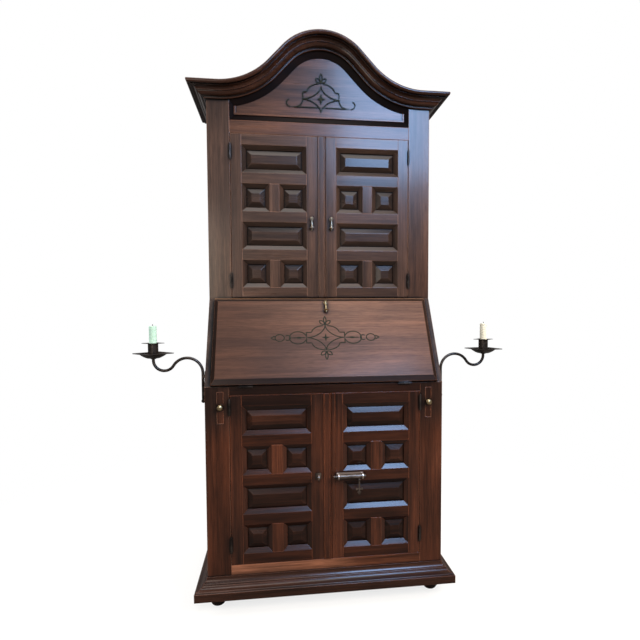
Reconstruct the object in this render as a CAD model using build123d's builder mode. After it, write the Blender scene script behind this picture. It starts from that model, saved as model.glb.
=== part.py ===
from build123d import *
import os
from math import atan2, cos, degrees, radians, sin, sqrt, tan

os.makedirs("parts", exist_ok=True)

# Slant-front secretary: a two-door cupboard, a desk with a falling lid, and a two-door cupboard under an
# arched cornice. Millimetres. X runs to the right, the front faces -Y, and Z is up from the floor.
# The origin is on the floor under the middle of the whole object.

# --- driving dimensions: the case ---
case_width = 840.0
case_depth = 480.0
upper_setback = 165.0
foot_height = 50.0
desk_height = 780.6
desk_top_z = 1086.0
upper_top_z = 1808.0
side_top_z = 1850.0
frame_t = 22.0
side_t = 20.0
board_t = 20.0
desk_board_t = 18.0
shelf_t = 18.0
back_t = 14.0
back_inset = 2.0
shelf_set_back = 12.0
lower_shelf_z = 420.0
upper_shelf_heights = (1282.0, 1476.0)

# --- feet and base moulding ---
foot_radius = 35.0
foot_pad_radius = 25.0
foot_pad_height = 16.0
foot_inset = 31.0
base_height = 66.5
base_reach = 41.0
base_fascia = 27.5

# --- door openings and doors ---
opening_half = 338.5
lower_opening = (151.6, 750.0)
upper_opening = (1088.4, 1694.3)
door_t = 22.0
door_gap = 1.2
hinge_gap = 2.4
strip_half = 15.0
strip_proud = 2.5
strip_round = 2.0
strip_quirk = 1.6
strip_bead = 9.0
glue_line = 0.1
right_door_edge = 16.5
meeting_bead = 11.0
panel_outer_x = 297.0
panel_inner_x = 56.0
panel_height = 103.0
panel_rows = 4
muntin_half = 18.0
stick_w = 16.0
stick_depth = 10.0
panel_bevel = 20.0
panel_face_depth = 5.0
panel_edge_depth = 13.0
panel_back_depth = 18.0

# --- falling lid ---
lid_half = 398.5
lid_t = 18.0
lid_length = 336.0
lid_border = 13.0
lid_foot_border = 20.0
lid_border_depth = 6.0
lid_pin_ahead = 3.4
lid_pin_below = 1.5
lid_end_gap = 4.4

# --- arched cornice and the panel under it ---
cornice_height = 46.0
cornice_reach = 62.0
arch_end_z = 1811.0
arch_crest_z = 2006.0
arch_slope = radians(46.5)
arch_hollow_r = 300.0
arch_crown_r = 150.0
tympanum_bottom = 1741.0
tympanum_margin = 16.5
tympanum_sill = 23.0
tympanum_arch_margin = 21.0
tympanum_frame_t = 12.0
tympanum_slope = 11.0
tympanum_bead = 6.0
tympanum_bead_proud = 4.0
tympanum_lap = 38.0

# --- lopers and their channels ---
loper_x = (358.0, 379.0)
loper_z = (654.0, 762.3)
loper_length = 420.0
loper_play = 0.3
channel_x = (345.0, 400.0)
channel_floor = 640.0
loper_knob_r = 10.0
loper_knob_z = 710.0

# --- hinges ---
leaf_t = 1.0
leaf_reach = 22.0
leaf_air = 0.2
door_pin_ahead = 4.2
knuckle_r = 3.5
pin_r = 2.0
pin_play = 0.05
knuckle_play = 0.3
pin_tip_r = 2.7
door_hinge_length = 50.0
upper_hinge_ends = (65.0, 67.0)
lower_hinge_ends = (73.0, 41.0)
lid_hinge_length = 45.0
lid_knuckle_r = 3.0
lid_pin_r = 1.5
lid_hinge_x = 280.0
lid_leaf_reach = 16.0

# --- drop pulls ---
pull_x = 37.0
pull_z = 1387.0
pull_length = 44.0
pull_reach = 9.2
pull_ball_r = 6.5
pull_bell_r = 8.5
lid_pull_x = 10.0
lid_pull_along = 320.0
slot_half = 1.5
tongue_half = 1.2

# --- bolt, drawn back ---
bolt_z = 455.0
bolt_travel = 64.0
bolt_stand_off = 20.0
rod_r = 5.5
rod_thrown = (-46.0, 52.0)
rod_tip_r = 4.75
barrel_r = 8.0
barrel_x = (40.0, 121.0)
collar_r = 10.5
collar_w = 5.0
keeper_x = -32.6
keeper_play = 1.3
keeper_r = 12.0
stem_x = 47.5
stem_r = 2.0
stem_length = 13.5
stem_ball_r = 4.5
slot_play = 0.4
pendant_t = 3.0
pendant_cross = 33.0
pendant_length = 54.0

# --- candle arms ---
arm_foot_z = 725.0
arm_crest_z = 877.3
arm_trough_z = 834.0
arm_crest_r = 53.0
arm_trough_r = 36.0
arm_rod_r = 5.0
arm_stand_off = 11.0
arm_behind_front = 48.0
strap_z = (732.0, 830.0)
strap_width = 20.0
strap_t = 4.0
strap_lugs = (750.0, 812.0)
pan_side = 104.0
pan_corner_r = 12.0
pan_sheet = 2.0
pan_rim_z = 896.0
pan_floor_z = 878.5
pan_floor_r = 20.0
pan_bowl_r = 46.0
pan_turns = {"left": 45.0, "right": 12.0}
socket_r = 17.0
socket_top_z = 931.0
petal_side = 54.0
petal_hollow_r = 60.0
petal_t = 1.6
candle_r = 12.5
candle_play = 0.5
candle_foot_z = 897.0
candle_top_z = 989.5
wick_r = 1.0
wick_length = 6.0

# --- pigeonholes and drawers behind the lid ---
gallery_depth = 200.0
gallery_board_t = 10.0
drawer_row = 82.0
drawer_play = 1.0
drawer_front_t = 12.0
drawer_wall_t = 8.0
drawer_floor_t = 6.0
drawer_knob_r = 9.0

# --- worked out from the above ---
case_half = case_width / 2
inner_half = case_half - side_t
front_y = (base_reach - case_depth) / 2
back_y = front_y + case_depth
upper_y = front_y + upper_setback
back_face_y = back_y - back_inset - back_t
plinth_top = foot_height + board_t
slant = atan2(desk_top_z - desk_height, upper_setback)
pin_y = front_y - lid_pin_ahead
pin_z = desk_height - lid_pin_below
door_fronts = {"upper": upper_y, "lower": front_y}
door_openings = {"upper": upper_opening, "lower": lower_opening}
hinge_ends = {"upper": upper_hinge_ends, "lower": lower_hinge_ends}
sides = {"left": -1, "right": 1}


# ---------------------------------------------------------------- drawing helpers
def front_plane(y):
    """Upright plane at depth y, drawn in x and z; its normal points to the front."""
    return Plane.XZ.offset(-y)


def side_plane(x):
    """Upright plane at x, drawn in y and z; its normal points to the right."""
    return Plane.YZ.offset(x)


def shifted(plane, x=0.0, y=0.0, z=0.0):
    """The same plane, moved along the object's own axes."""
    return Plane(origin=plane.origin + Vector(x, y, z), x_dir=plane.x_dir, z_dir=plane.z_dir)


def between(side, a, b):
    """Two distances from the middle, turned into an ordered pair of x values on one side."""
    return tuple(sorted((side * a, side * b)))


def board(x, y, z, mode=Mode.ADD):
    """One squared board, given its two faces along each axis."""
    with Locations(((x[0] + x[1]) / 2, (y[0] + y[1]) / 2, (z[0] + z[1]) / 2)):
        Box(x[1] - x[0], y[1] - y[0], z[1] - z[0], mode=mode)


def bar(plane, radius, length, bore=0.0, mode=Mode.ADD):
    """A round bar or tube that starts on a plane and runs along its normal."""
    with BuildSketch(plane) as ring:
        Circle(radius)
        if bore:
            Circle(bore, mode=Mode.SUBTRACT)
    extrude(ring.sketch, amount=length, mode=mode)


def turned(plane, draw):
    """A turned solid: draw() lays half its outline on the plane, in (radius, height)."""
    with BuildSketch(plane) as half:
        with BuildLine():
            draw()
        make_face()
    revolve(half.sketch, axis=Axis(plane.origin, plane.y_dir))


def dome(radius, start, end):
    """The rounded end of a turned outline, from a radius to the axis, square to the axis."""
    rise = end - start
    RadiusArc((radius, start), (0, end), -(radius**2 + rise**2) / (2 * rise))


def upright(x, y, z=0.0):
    """Plane for turning a piece about a vertical axis through (x, y)."""
    return Plane(origin=(x, y, z), x_dir=(1, 0, 0), z_dir=(0, -1, 0))


def facing(x, y, z):
    """Plane for turning a piece about an axis that points out of the front face."""
    return Plane(origin=(x, y, z), x_dir=(1, 0, 0), z_dir=(0, 0, -1))


def rim(opening, inset):
    """A rectangle inside an opening (x0, x1, z0, z1), the same distance from each of its edges."""
    x0, x1, z0, z1 = opening
    with Locations(((x0 + x1) / 2, (z0 + z1) / 2)):
        Rectangle(x1 - x0 - 2 * inset, z1 - z0 - 2 * inset)


def tapered(y0, y1, opening, inset0, inset1, mode=Mode.ADD):
    """A block with four sloping sides between two rectangles at depths y0 and y1."""
    with BuildSketch(front_plane(y0)) as first:
        rim(opening, inset0)
    with BuildSketch(front_plane(y1)) as last:
        rim(opening, inset1)
    loft([first.sketch.face(), last.sketch.face()], ruled=True, mode=mode)


# ---------------------------------------------------------------- feet
def foot_outline():
    """A bun foot on a smaller rounded pad."""
    Polyline((0, foot_height), (0, 0), (foot_pad_radius - 7, 0))
    RadiusArc((foot_pad_radius - 7, 0), (foot_pad_radius, foot_pad_height), -14)
    Line((foot_pad_radius, foot_pad_height), (foot_radius - 4, foot_pad_height))
    RadiusArc((foot_radius - 4, foot_pad_height), (foot_radius - 4, foot_height), -40)
    Line((foot_radius - 4, foot_height), (0, foot_height))


with BuildPart() as bun_feet:
    for foot_x in (foot_inset - case_half, case_half - foot_inset):
        for foot_y in (front_y + foot_radius, back_y - foot_radius):
            turned(upright(foot_x, foot_y), foot_outline)
bun_feet.part.label = "bun_feet"
export_step(bun_feet.part, "parts/bun_feet.step")


# ---------------------------------------------------------------- mouldings
def base_outline():
    """Base moulding, in (reach, height): fascia, bead, hollow, bead and a long cove up to the case."""
    Polyline((0, base_height), (0, 0), (base_reach, 0), (base_reach, base_fascia))
    Line((base_reach, base_fascia), (base_reach - 3, base_fascia + 1.5))
    RadiusArc((base_reach - 3, base_fascia + 1.5), (base_reach - 9, base_fascia + 6), -4.2)
    Line((base_reach - 9, base_fascia + 6), (base_reach - 11, base_fascia + 6))
    RadiusArc((base_reach - 11, base_fascia + 6), (16, base_fascia + 16), 16)
    Line((16, base_fascia + 16), (15, base_fascia + 16))
    RadiusArc((15, base_fascia + 16), (11, base_fascia + 21), -3.6)
    Line((11, base_fascia + 21), (9.5, base_fascia + 21))
    RadiusArc((9.5, base_fascia + 21), (2.5, base_height), 22)
    Line((2.5, base_height), (0, base_height))


def cornice_outline():
    """Cornice, in (reach, height): bead, ovolo, hollow, fillet, quirk and a big round at the top."""
    Polyline((0, cornice_height), (0, 0), (4, 0))
    RadiusArc((4, 0), (9, 5), -4)
    Polyline((9, 5), (11, 5), (11, 7))
    RadiusArc((11, 7), (28, 20), -17)
    Polyline((28, 20), (31, 20), (31, 21.5))
    RadiusArc((31, 21.5), (44, 30), 14)
    Polyline((44, 30), (49, 30), (49, 32), (46, 33), (56.6, 33))
    RadiusArc((56.6, 33), (60.6, cornice_height), -9)
    Line((60.6, cornice_height), (0, cornice_height))


def moulding_run(z, y, outline, reach):
    """A moulding along the front, mitred at both ends, standing on height z against depth y."""
    end = case_half + reach
    with BuildSketch(Plane(origin=(end, y, z), x_dir=(0, -1, 0), z_dir=(-1, 0, 0))) as section:
        with BuildLine():
            outline()
        make_face()
    extrude(section.sketch, amount=2 * end)


def trim_front(y):
    """Cut both ends of a front moulding to the mitres at the corners of the case."""
    split(bisect_by=Plane(origin=(case_half, y, 0), z_dir=(1, 1, 0)), keep=Keep.BOTTOM)
    split(bisect_by=Plane(origin=(-case_half, y, 0), z_dir=(-1, 1, 0)), keep=Keep.BOTTOM)


def moulding_returns(z, y, outline, reach):
    """The two side returns of a moulding, from the back of the case to the mitres."""
    section_plane = Plane(origin=(case_half, back_y, z), x_dir=(1, 0, 0), z_dir=(0, -1, 0))
    with BuildSketch(section_plane) as section:
        with BuildLine():
            outline()
        make_face()
    extrude(section.sketch, amount=back_y - y + reach)
    split(bisect_by=Plane(origin=(case_half, y, 0), z_dir=(1, 1, 0)), keep=Keep.TOP)
    mirror(about=Plane.YZ)


with BuildPart() as base_front:
    moulding_run(foot_height, front_y, base_outline, base_reach)
    trim_front(front_y)
base_front.part.label = "base_front"
export_step(base_front.part, "parts/base_front.step")

with BuildPart() as base_returns:
    moulding_returns(foot_height, front_y, base_outline, base_reach)
base_returns.part.label = "base_returns"
export_step(base_returns.part, "parts/base_returns.step")

with BuildPart() as cornice_returns:
    moulding_returns(arch_end_z, upper_y, cornice_outline, cornice_reach)
cornice_returns.part.label = "cornice_returns"
export_step(cornice_returns.part, "parts/cornice_returns.step")

# The arch is flat, then hollow, straight, round over the crown, and the same again in mirror image.
arch_rise = arch_crest_z - arch_end_z
arch_bends = arch_hollow_r + arch_crown_r
arch_straight = (arch_rise - arch_bends * (1 - cos(arch_slope))) / sin(arch_slope)
arch_foot_x = arch_bends * sin(arch_slope) + arch_straight * cos(arch_slope)
arch_turn = degrees(arch_slope)


def arch_line(offset, end_x):
    """The ogee of the cornice's lower edge, moved outwards by an offset, from -end_x to end_x."""
    hollow_r = arch_hollow_r - offset
    crown_r = arch_crown_r + offset
    flat_z = arch_end_z + offset
    bend_x = arch_foot_x - hollow_r * sin(arch_slope)
    bend_z = arch_end_z + arch_hollow_r - hollow_r * cos(arch_slope)
    crown_x = crown_r * sin(arch_slope)
    crown_z = arch_crest_z - arch_crown_r + crown_r * cos(arch_slope)
    Line((-end_x, flat_z), (-arch_foot_x, flat_z))
    JernArc((-arch_foot_x, flat_z), (1, 0), hollow_r, arch_turn)
    Line((-bend_x, bend_z), (-crown_x, crown_z))
    JernArc((-crown_x, crown_z), (cos(arch_slope), sin(arch_slope)), crown_r, -2 * arch_turn)
    Line((crown_x, crown_z), (bend_x, bend_z))
    JernArc((bend_x, bend_z), (cos(arch_slope), -sin(arch_slope)), hollow_r, arch_turn)
    Line((arch_foot_x, flat_z), (end_x, flat_z))


def under_arch(offset, half_width, bottom):
    """The area under the ogee at an offset, down to a sill and out to a half width."""
    wide = arch_foot_x + cornice_reach
    with BuildLine() as outline:
        arch_line(offset, wide)
        Polyline((wide, arch_end_z + offset), (wide, bottom), (-wide, bottom), (-wide, arch_end_z + offset))
    make_face(outline.edges())
    with Locations((0, bottom)):
        Rectangle(2 * half_width, 2 * arch_crest_z, align=(Align.CENTER, Align.MIN), mode=Mode.INTERSECT)


with BuildPart() as cornice_front:
    with BuildLine(front_plane(upper_y)) as arch_path:
        arch_line(0, case_half + cornice_reach)
    arch_end = Plane(
        origin=(-case_half - cornice_reach, upper_y, arch_end_z), x_dir=(0, -1, 0), z_dir=(-1, 0, 0)
    )
    with BuildSketch(arch_end):
        with BuildLine():
            cornice_outline()
        make_face()
    sweep(path=arch_path.line)
    trim_front(upper_y)
cornice_front.part.label = "cornice_front"
export_step(cornice_front.part, "parts/cornice_front.step")

# ---------------------------------------------------------------- pediment panel
tympanum_back = upper_y + tympanum_frame_t
tympanum_panel_half = opening_half - tympanum_margin
tympanum_panel_bottom = tympanum_bottom + tympanum_sill
with BuildPart() as tympanum_frame:
    with BuildSketch(front_plane(tympanum_back)):
        under_arch(tympanum_lap, opening_half, tympanum_bottom)
    extrude(amount=tympanum_frame_t)
    with BuildSketch(front_plane(tympanum_back)):
        under_arch(-tympanum_arch_margin, tympanum_panel_half, tympanum_panel_bottom)
    extrude(amount=tympanum_frame_t, mode=Mode.SUBTRACT)
    with BuildSketch(front_plane(upper_y)) as slope_front:
        under_arch(0, opening_half, tympanum_bottom)
    with BuildSketch(front_plane(upper_y + tympanum_slope)) as slope_back:
        under_arch(-tympanum_arch_margin, tympanum_panel_half, tympanum_panel_bottom)
    loft([slope_front.sketch.face(), slope_back.sketch.face()], ruled=True, mode=Mode.SUBTRACT)
tympanum_frame.part.label = "tympanum_frame"
export_step(tympanum_frame.part, "parts/tympanum_frame.step")

with BuildPart() as tympanum_board:
    with BuildSketch(front_plane(upper_y + frame_t)):
        under_arch(tympanum_lap, opening_half, tympanum_bottom)
    extrude(amount=frame_t - tympanum_frame_t)
    with BuildSketch(front_plane(tympanum_back)):
        under_arch(-tympanum_arch_margin, tympanum_panel_half, tympanum_panel_bottom)
    extrude(amount=tympanum_bead_proud)
    with BuildSketch(front_plane(tympanum_back)):
        under_arch(
            -tympanum_arch_margin,
            tympanum_panel_half - tympanum_bead,
            tympanum_panel_bottom + tympanum_bead,
        )
    extrude(amount=tympanum_bead_proud, mode=Mode.SUBTRACT)
tympanum_board.part.label = "tympanum_board"
export_step(tympanum_board.part, "parts/tympanum_board.step")

# ---------------------------------------------------------------- desk case and upper case
lower_back_of_frame = front_y + frame_t
upper_back_of_frame = upper_y + frame_t

with BuildPart() as plinth_board:
    board((-case_half, case_half), (front_y, back_y), (foot_height, plinth_top))
plinth_board.part.label = "plinth_board"
export_step(plinth_board.part, "parts/plinth_board.step")

with BuildPart() as desk_sides:
    with BuildSketch(side_plane(inner_half)):
        Polygon(
            (lower_back_of_frame, plinth_top),
            (back_y, plinth_top),
            (back_y, desk_top_z),
            (upper_y, desk_top_z),
            (front_y, desk_height),
            (lower_back_of_frame, desk_height),
            align=None,
        )
    extrude(amount=side_t)
    mirror(about=Plane.YZ)
desk_sides.part.label = "desk_sides"
export_step(desk_sides.part, "parts/desk_sides.step")

with BuildPart() as face_stiles:
    for side in sides.values():
        edge_x = between(side, opening_half, case_half)
        slot_x = between(side, loper_x[0] - loper_play, loper_x[1] + loper_play)
        board(edge_x, (front_y, lower_back_of_frame), (plinth_top, desk_height))
        board(
            slot_x,
            (front_y, lower_back_of_frame),
            (loper_z[0] - loper_play, loper_z[1] + loper_play),
            mode=Mode.SUBTRACT,
        )
        board(edge_x, (upper_y, upper_back_of_frame), (desk_top_z, side_top_z))
face_stiles.part.label = "face_stiles"
export_step(face_stiles.part, "parts/face_stiles.step")

with BuildPart() as lower_rails:
    for rail_z in ((plinth_top, lower_opening[0]), (lower_opening[1], desk_height)):
        board((-opening_half, opening_half), (front_y, lower_back_of_frame), rail_z)
lower_rails.part.label = "lower_rails"
export_step(lower_rails.part, "parts/lower_rails.step")

with BuildPart() as head_rail:
    board(
        (-opening_half, opening_half),
        (upper_y, upper_back_of_frame),
        (upper_opening[1], tympanum_bottom),
    )
head_rail.part.label = "head_rail"
export_step(head_rail.part, "parts/head_rail.step")

with BuildPart() as upper_sides:
    for side in sides.values():
        board(between(side, inner_half, case_half), (upper_back_of_frame, back_y), (desk_top_z, side_top_z))
upper_sides.part.label = "upper_sides"
export_step(upper_sides.part, "parts/upper_sides.step")

with BuildPart() as back_boards:
    back_faces = (back_face_y, back_face_y + back_t)
    board((-inner_half, inner_half), back_faces, (plinth_top, desk_top_z))
    board((-inner_half, inner_half), back_faces, (desk_top_z, upper_top_z))
back_boards.part.label = "back_boards"
export_step(back_boards.part, "parts/back_boards.step")

desk_board_bottom = desk_height - desk_board_t
with BuildPart() as desk_board:
    board(
        (-inner_half, inner_half),
        (lower_back_of_frame, back_face_y),
        (desk_board_bottom, desk_height),
    )
desk_board.part.label = "desk_board"
export_step(desk_board.part, "parts/desk_board.step")

with BuildPart() as top_boards:
    desk_top_bottom = desk_top_z - board_t
    with BuildSketch(side_plane(-inner_half)):
        Polygon(
            (upper_y - board_t / tan(slant), desk_top_bottom),
            (back_face_y, desk_top_bottom),
            (back_face_y, desk_top_z),
            (upper_y, desk_top_z),
            align=None,
        )
    extrude(amount=2 * inner_half)
    board(
        (-inner_half, inner_half),
        (upper_back_of_frame, back_face_y),
        (upper_top_z - board_t, upper_top_z),
    )
top_boards.part.label = "top_boards"
export_step(top_boards.part, "parts/top_boards.step")

with BuildPart() as shelves:
    board(
        (-inner_half, inner_half),
        (lower_back_of_frame, back_face_y),
        (lower_opening[0] - board_t, lower_opening[0]),
    )
    board(
        (-inner_half, inner_half),
        (lower_back_of_frame + shelf_set_back, back_face_y),
        (lower_shelf_z, lower_shelf_z + shelf_t),
    )
    for shelf_z in upper_shelf_heights:
        board(
            (-inner_half, inner_half),
            (upper_back_of_frame + shelf_set_back, back_face_y),
            (shelf_z, shelf_z + shelf_t),
        )
shelves.part.label = "shelves"
export_step(shelves.part, "parts/shelves.step")

with BuildPart() as loper_channels:
    for side in sides.values():
        channel_y = (lower_back_of_frame, back_face_y)
        slot_x = between(side, loper_x[0] - loper_play, loper_x[1] + loper_play)
        board(between(side, *channel_x), channel_y, (channel_floor, desk_board_bottom))
        board(slot_x, channel_y, (loper_z[0] - loper_play, desk_board_bottom), mode=Mode.SUBTRACT)
loper_channels.part.label = "loper_channels"
export_step(loper_channels.part, "parts/loper_channels.step")


# ---------------------------------------------------------------- lopers
def loper_knob_outline():
    """A small turned knob: rose, neck and a slightly flattened ball."""
    Polyline((0, 18), (0, 0), (7, 0), (7, 2), (4, 3.5), (4, 6))
    RadiusArc((4, 6), (loper_knob_r, 12), -7.5)
    dome(loper_knob_r, 12, 18)


for name, side in sides.items():
    with BuildPart() as loper:
        board(between(side, *loper_x), (front_y, front_y + loper_length), loper_z)
    loper.part.label = f"{name}_loper"
    export_step(loper.part, f"parts/{name}_loper.step")

    knob_x = side * (loper_x[0] + loper_x[1]) / 2
    with BuildPart() as loper_knob:
        turned(facing(knob_x, front_y, loper_knob_z), loper_knob_outline)
    loper_knob.part.label = f"{name}_loper_knob"
    export_step(loper_knob.part, f"parts/{name}_loper_knob.step")


# ---------------------------------------------------------------- panelled doors
middle = (panel_outer_x + panel_inner_x) / 2


def panel_openings(level, side):
    """The six openings of one door, rows from the bottom up: two squares, then one wide, and so on."""
    bottom, top = door_edges(level)
    rail = (top - bottom - panel_rows * panel_height) / (panel_rows + 1)
    pair_of_squares = ((panel_inner_x, middle - muntin_half), (middle + muntin_half, panel_outer_x))
    wide = ((panel_inner_x, panel_outer_x),)
    found = []
    for row in range(panel_rows):
        z = bottom + rail + row * (rail + panel_height)
        for edges in pair_of_squares if row % 2 == 0 else wide:
            found.append((*between(side, *edges), z, z + panel_height))
    return found


def door_edges(level):
    """Heights of a door's bottom and top edge."""
    bottom, top = door_openings[level]
    return bottom + door_gap, top - door_gap


def stop(opening, edge, back):
    """The strip of frame along one edge of an opening that carries the slope, mitred at its ends."""
    x0, x1, z0, z1 = opening
    edges = {
        "left": ((x0, z0), (x0, z1)),
        "right": ((x1, z1), (x1, z0)),
        "bottom": ((x1, z0), (x0, z0)),
        "top": ((x0, z1), (x1, z1)),
    }
    outer = edges[edge]
    centre = ((x0 + x1) / 2, (z0 + z1) / 2)
    inner = [
        tuple(value + (stick_w if value < mid else -stick_w) for value, mid in zip(corner, centre))
        for corner in reversed(outer)
    ]
    with BuildSketch(front_plane(back)) as strip:
        Polygon(*outer, *inner, align=None)
    extrude(strip.sketch, amount=door_t)


def closing_strip(front, bottom, top):
    """The planted strip that covers the meeting of two doors: rounded edges and two fine grooves."""
    crown = front - strip_proud
    with BuildSketch(Plane.XY.offset(bottom)) as section:
        with BuildLine():
            Polyline((-strip_half, crown + strip_round), (-strip_half, front + door_t))
            Line((-strip_half, front + door_t), (strip_half, front + door_t))
            Line((strip_half, front + door_t), (strip_half, crown + strip_round))
            Line((strip_half, crown + strip_round), (strip_half - strip_round, crown))
            Line((strip_half - strip_round, crown), (strip_round - strip_half, crown))
            Line((strip_round - strip_half, crown), (-strip_half, crown + strip_round))
        make_face()
        with Locations((-strip_bead, crown), (strip_bead, crown)):
            Rectangle(strip_quirk, 2 * strip_quirk, mode=Mode.SUBTRACT)
    extrude(section.sketch, amount=top - bottom)


def cut_slopes(openings, front):
    """Cut the sloping inner edge of the frame round every opening."""
    for opening in openings:
        tapered(front, front + stick_depth, opening, 0, stick_w, mode=Mode.SUBTRACT)


for level, front in door_fronts.items():
    bottom, top = door_edges(level)
    back = front + door_t
    for name, side in sides.items():
        openings = panel_openings(level, side)
        squares = [opening for opening in openings if opening[1] - opening[0] < middle]
        outer_edge, inner_edge = ("left", "right") if side < 0 else ("right", "left")
        meeting_edge = right_door_edge if side > 0 else strip_half + glue_line

        with BuildPart() as uprights:
            board(between(side, panel_outer_x, opening_half - hinge_gap), (front, back), (bottom, top))
            board(between(side, meeting_edge, panel_inner_x), (front, back), (bottom, top))
            for opening in openings:
                if max(abs(opening[0]), abs(opening[1])) == panel_outer_x:
                    stop(opening, outer_edge, back)
                if min(abs(opening[0]), abs(opening[1])) == panel_inner_x:
                    stop(opening, inner_edge, back)
            for opening in squares:
                muntin_x = between(side, middle - muntin_half, middle + muntin_half)
                board(muntin_x, (front, back), (opening[2], opening[3]))
                beyond_muntin = min(abs(opening[0]), abs(opening[1])) > middle
                stop(opening, inner_edge if beyond_muntin else outer_edge, back)
            cut_slopes(openings, front)
            if side < 0:
                closing_strip(front, bottom, top)
            elif level == "lower":
                quirk_x = right_door_edge + meeting_bead
                quirk = (quirk_x, quirk_x + strip_quirk)
                board(quirk, (front, front + strip_quirk), (bottom, top), mode=Mode.SUBTRACT)
        uprights.part.label = f"{level}_{name}_door_uprights"
        export_step(uprights.part, f"parts/{level}_{name}_door_uprights.step")

        with BuildPart() as rails:
            heights = [bottom] + sorted({z for opening in openings for z in opening[2:]}) + [top]
            for low, high in zip(heights[::2], heights[1::2]):
                board(between(side, panel_inner_x, panel_outer_x), (front, back), (low, high))
            for opening in openings:
                stop(opening, "bottom", back)
                stop(opening, "top", back)
            cut_slopes(openings, front)
        rails.part.label = f"{level}_{name}_door_rails"
        export_step(rails.part, f"parts/{level}_{name}_door_rails.step")

        with BuildPart() as panels:
            for opening in openings:
                x0, x1, z0, z1 = opening
                board(
                    (x0 + stick_w, x1 - stick_w),
                    (front + panel_edge_depth, front + panel_back_depth),
                    (z0 + stick_w, z1 - stick_w),
                )
                tapered(
                    front + panel_edge_depth,
                    front + panel_face_depth,
                    opening,
                    stick_w,
                    stick_w + panel_bevel,
                )
        panels.part.label = f"{level}_{name}_door_panels"
        export_step(panels.part, f"parts/{level}_{name}_door_panels.step")

# ---------------------------------------------------------------- falling lid
lid_plane = Plane(origin=(0, pin_y, pin_z), x_dir=(1, 0, 0), z_dir=(0, -sin(slant), cos(slant)))
lid_inner = -lid_pin_below
lid_outer = lid_inner + lid_t
lid_ends = (lid_end_gap, lid_end_gap + lid_length)


def lid_face(depth, side_inset, foot_inset_along, head_inset):
    """Outline of the lid at a height over its pin, drawn in from its edges."""
    with BuildSketch(lid_plane.offset(depth)) as face:
        with Locations((0, lid_ends[0] + foot_inset_along)):
            Rectangle(
                2 * (lid_half - side_inset),
                lid_length - foot_inset_along - head_inset,
                align=(Align.CENTER, Align.MIN),
            )
    return face.sketch


with BuildPart() as lid:
    extrude(lid_face(lid_inner, 0, 0, 0), amount=lid_t - lid_border_depth)
    loft(
        [
            lid_face(lid_outer - lid_border_depth, 0, 0, 0).face(),
            lid_face(lid_outer, lid_border, lid_foot_border, lid_border).face(),
        ],
        ruled=True,
    )
lid.part.label = "lid"
export_step(lid.part, "parts/lid.step")


# ---------------------------------------------------------------- hinges
def hinge_side(level, side):
    """Pin position of a door's hinges: (x, y)."""
    pin_x = opening_half - leaf_t - leaf_air
    return side * pin_x, door_fronts[level] - door_pin_ahead


def hinge_heights(level):
    """Bottom ends of a door's two hinges."""
    low, high = door_openings[level]
    first, last = hinge_ends[level]
    return low + first - door_hinge_length / 2, high - last - door_hinge_length / 2


def knuckle(plane, radius, bore, length, low_play, high_play):
    """One rolled knuckle on a pin, shortened at an end that meets the other leaf's knuckle."""
    bar(plane.offset(low_play), radius, length - low_play - high_play, bore=bore)


third = door_hinge_length / 3
plate_start = knuckle_r + knuckle_play

with BuildPart() as fixed_hinge_leaves:
    for level in door_fronts:
        for side in sides.values():
            pin_x, axis_y = hinge_side(level, side)
            for low in hinge_heights(level):
                leaf_x = between(side, opening_half - leaf_t, opening_half)
                high = low + door_hinge_length
                board(leaf_x, (axis_y + plate_start, axis_y + leaf_reach), (low, high))
                for start, plays in ((low, (0, knuckle_play / 2)), (low + 2 * third, (knuckle_play / 2, 0))):
                    tab_z = (start + plays[0], start + third - plays[1])
                    board(leaf_x, (axis_y, axis_y + plate_start), tab_z)
                    knuckle_plane = shifted(Plane.XY, pin_x, axis_y, start)
                    bar(knuckle_plane, pin_r, third, mode=Mode.SUBTRACT)
                    knuckle(knuckle_plane, knuckle_r, pin_r, third, *plays)
    lid_third = lid_hinge_length / 3
    for side in sides.values():
        start_x = side * lid_hinge_x - lid_hinge_length / 2
        rail_top = (desk_height, desk_height + leaf_t)
        leaf_y = (front_y + leaf_t / 2, front_y + lid_leaf_reach)
        board((start_x, start_x + lid_hinge_length), leaf_y, rail_top)
        for start, plays in (
            (start_x, (0, knuckle_play / 2)),
            (start_x + 2 * lid_third, (knuckle_play / 2, 0)),
        ):
            tab_x = (start + plays[0], start + lid_third - plays[1])
            board(tab_x, (pin_y, leaf_y[0]), rail_top)
            knuckle_plane = shifted(Plane.YZ, start, pin_y, pin_z)
            bar(knuckle_plane, lid_pin_r, lid_third, mode=Mode.SUBTRACT)
            knuckle(knuckle_plane, lid_knuckle_r, lid_pin_r, lid_third, *plays)
fixed_hinge_leaves.part.label = "fixed_hinge_leaves"
export_step(fixed_hinge_leaves.part, "parts/fixed_hinge_leaves.step")

with BuildPart() as hinge_pins:
    for level in door_fronts:
        for side in sides.values():
            pin_x, axis_y = hinge_side(level, side)
            for low in hinge_heights(level):
                high = low + door_hinge_length
                bar(shifted(Plane.XY, pin_x, axis_y, low), pin_r, door_hinge_length)
                with Locations((pin_x, axis_y, low - pin_tip_r / 2), (pin_x, axis_y, high + pin_tip_r / 2)):
                    Sphere(pin_tip_r)
                for end_z in (low, high - third):
                    own_third = shifted(Plane.XY, pin_x, axis_y, end_z)
                    bar(own_third, knuckle_r + leaf_t, third, bore=pin_r, mode=Mode.SUBTRACT)
    for side in sides.values():
        start_x = side * lid_hinge_x - lid_hinge_length / 2
        bar(shifted(Plane.YZ, start_x, pin_y, pin_z), lid_pin_r, lid_hinge_length)
hinge_pins.part.label = "hinge_pins"
export_step(hinge_pins.part, "parts/hinge_pins.step")

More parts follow.
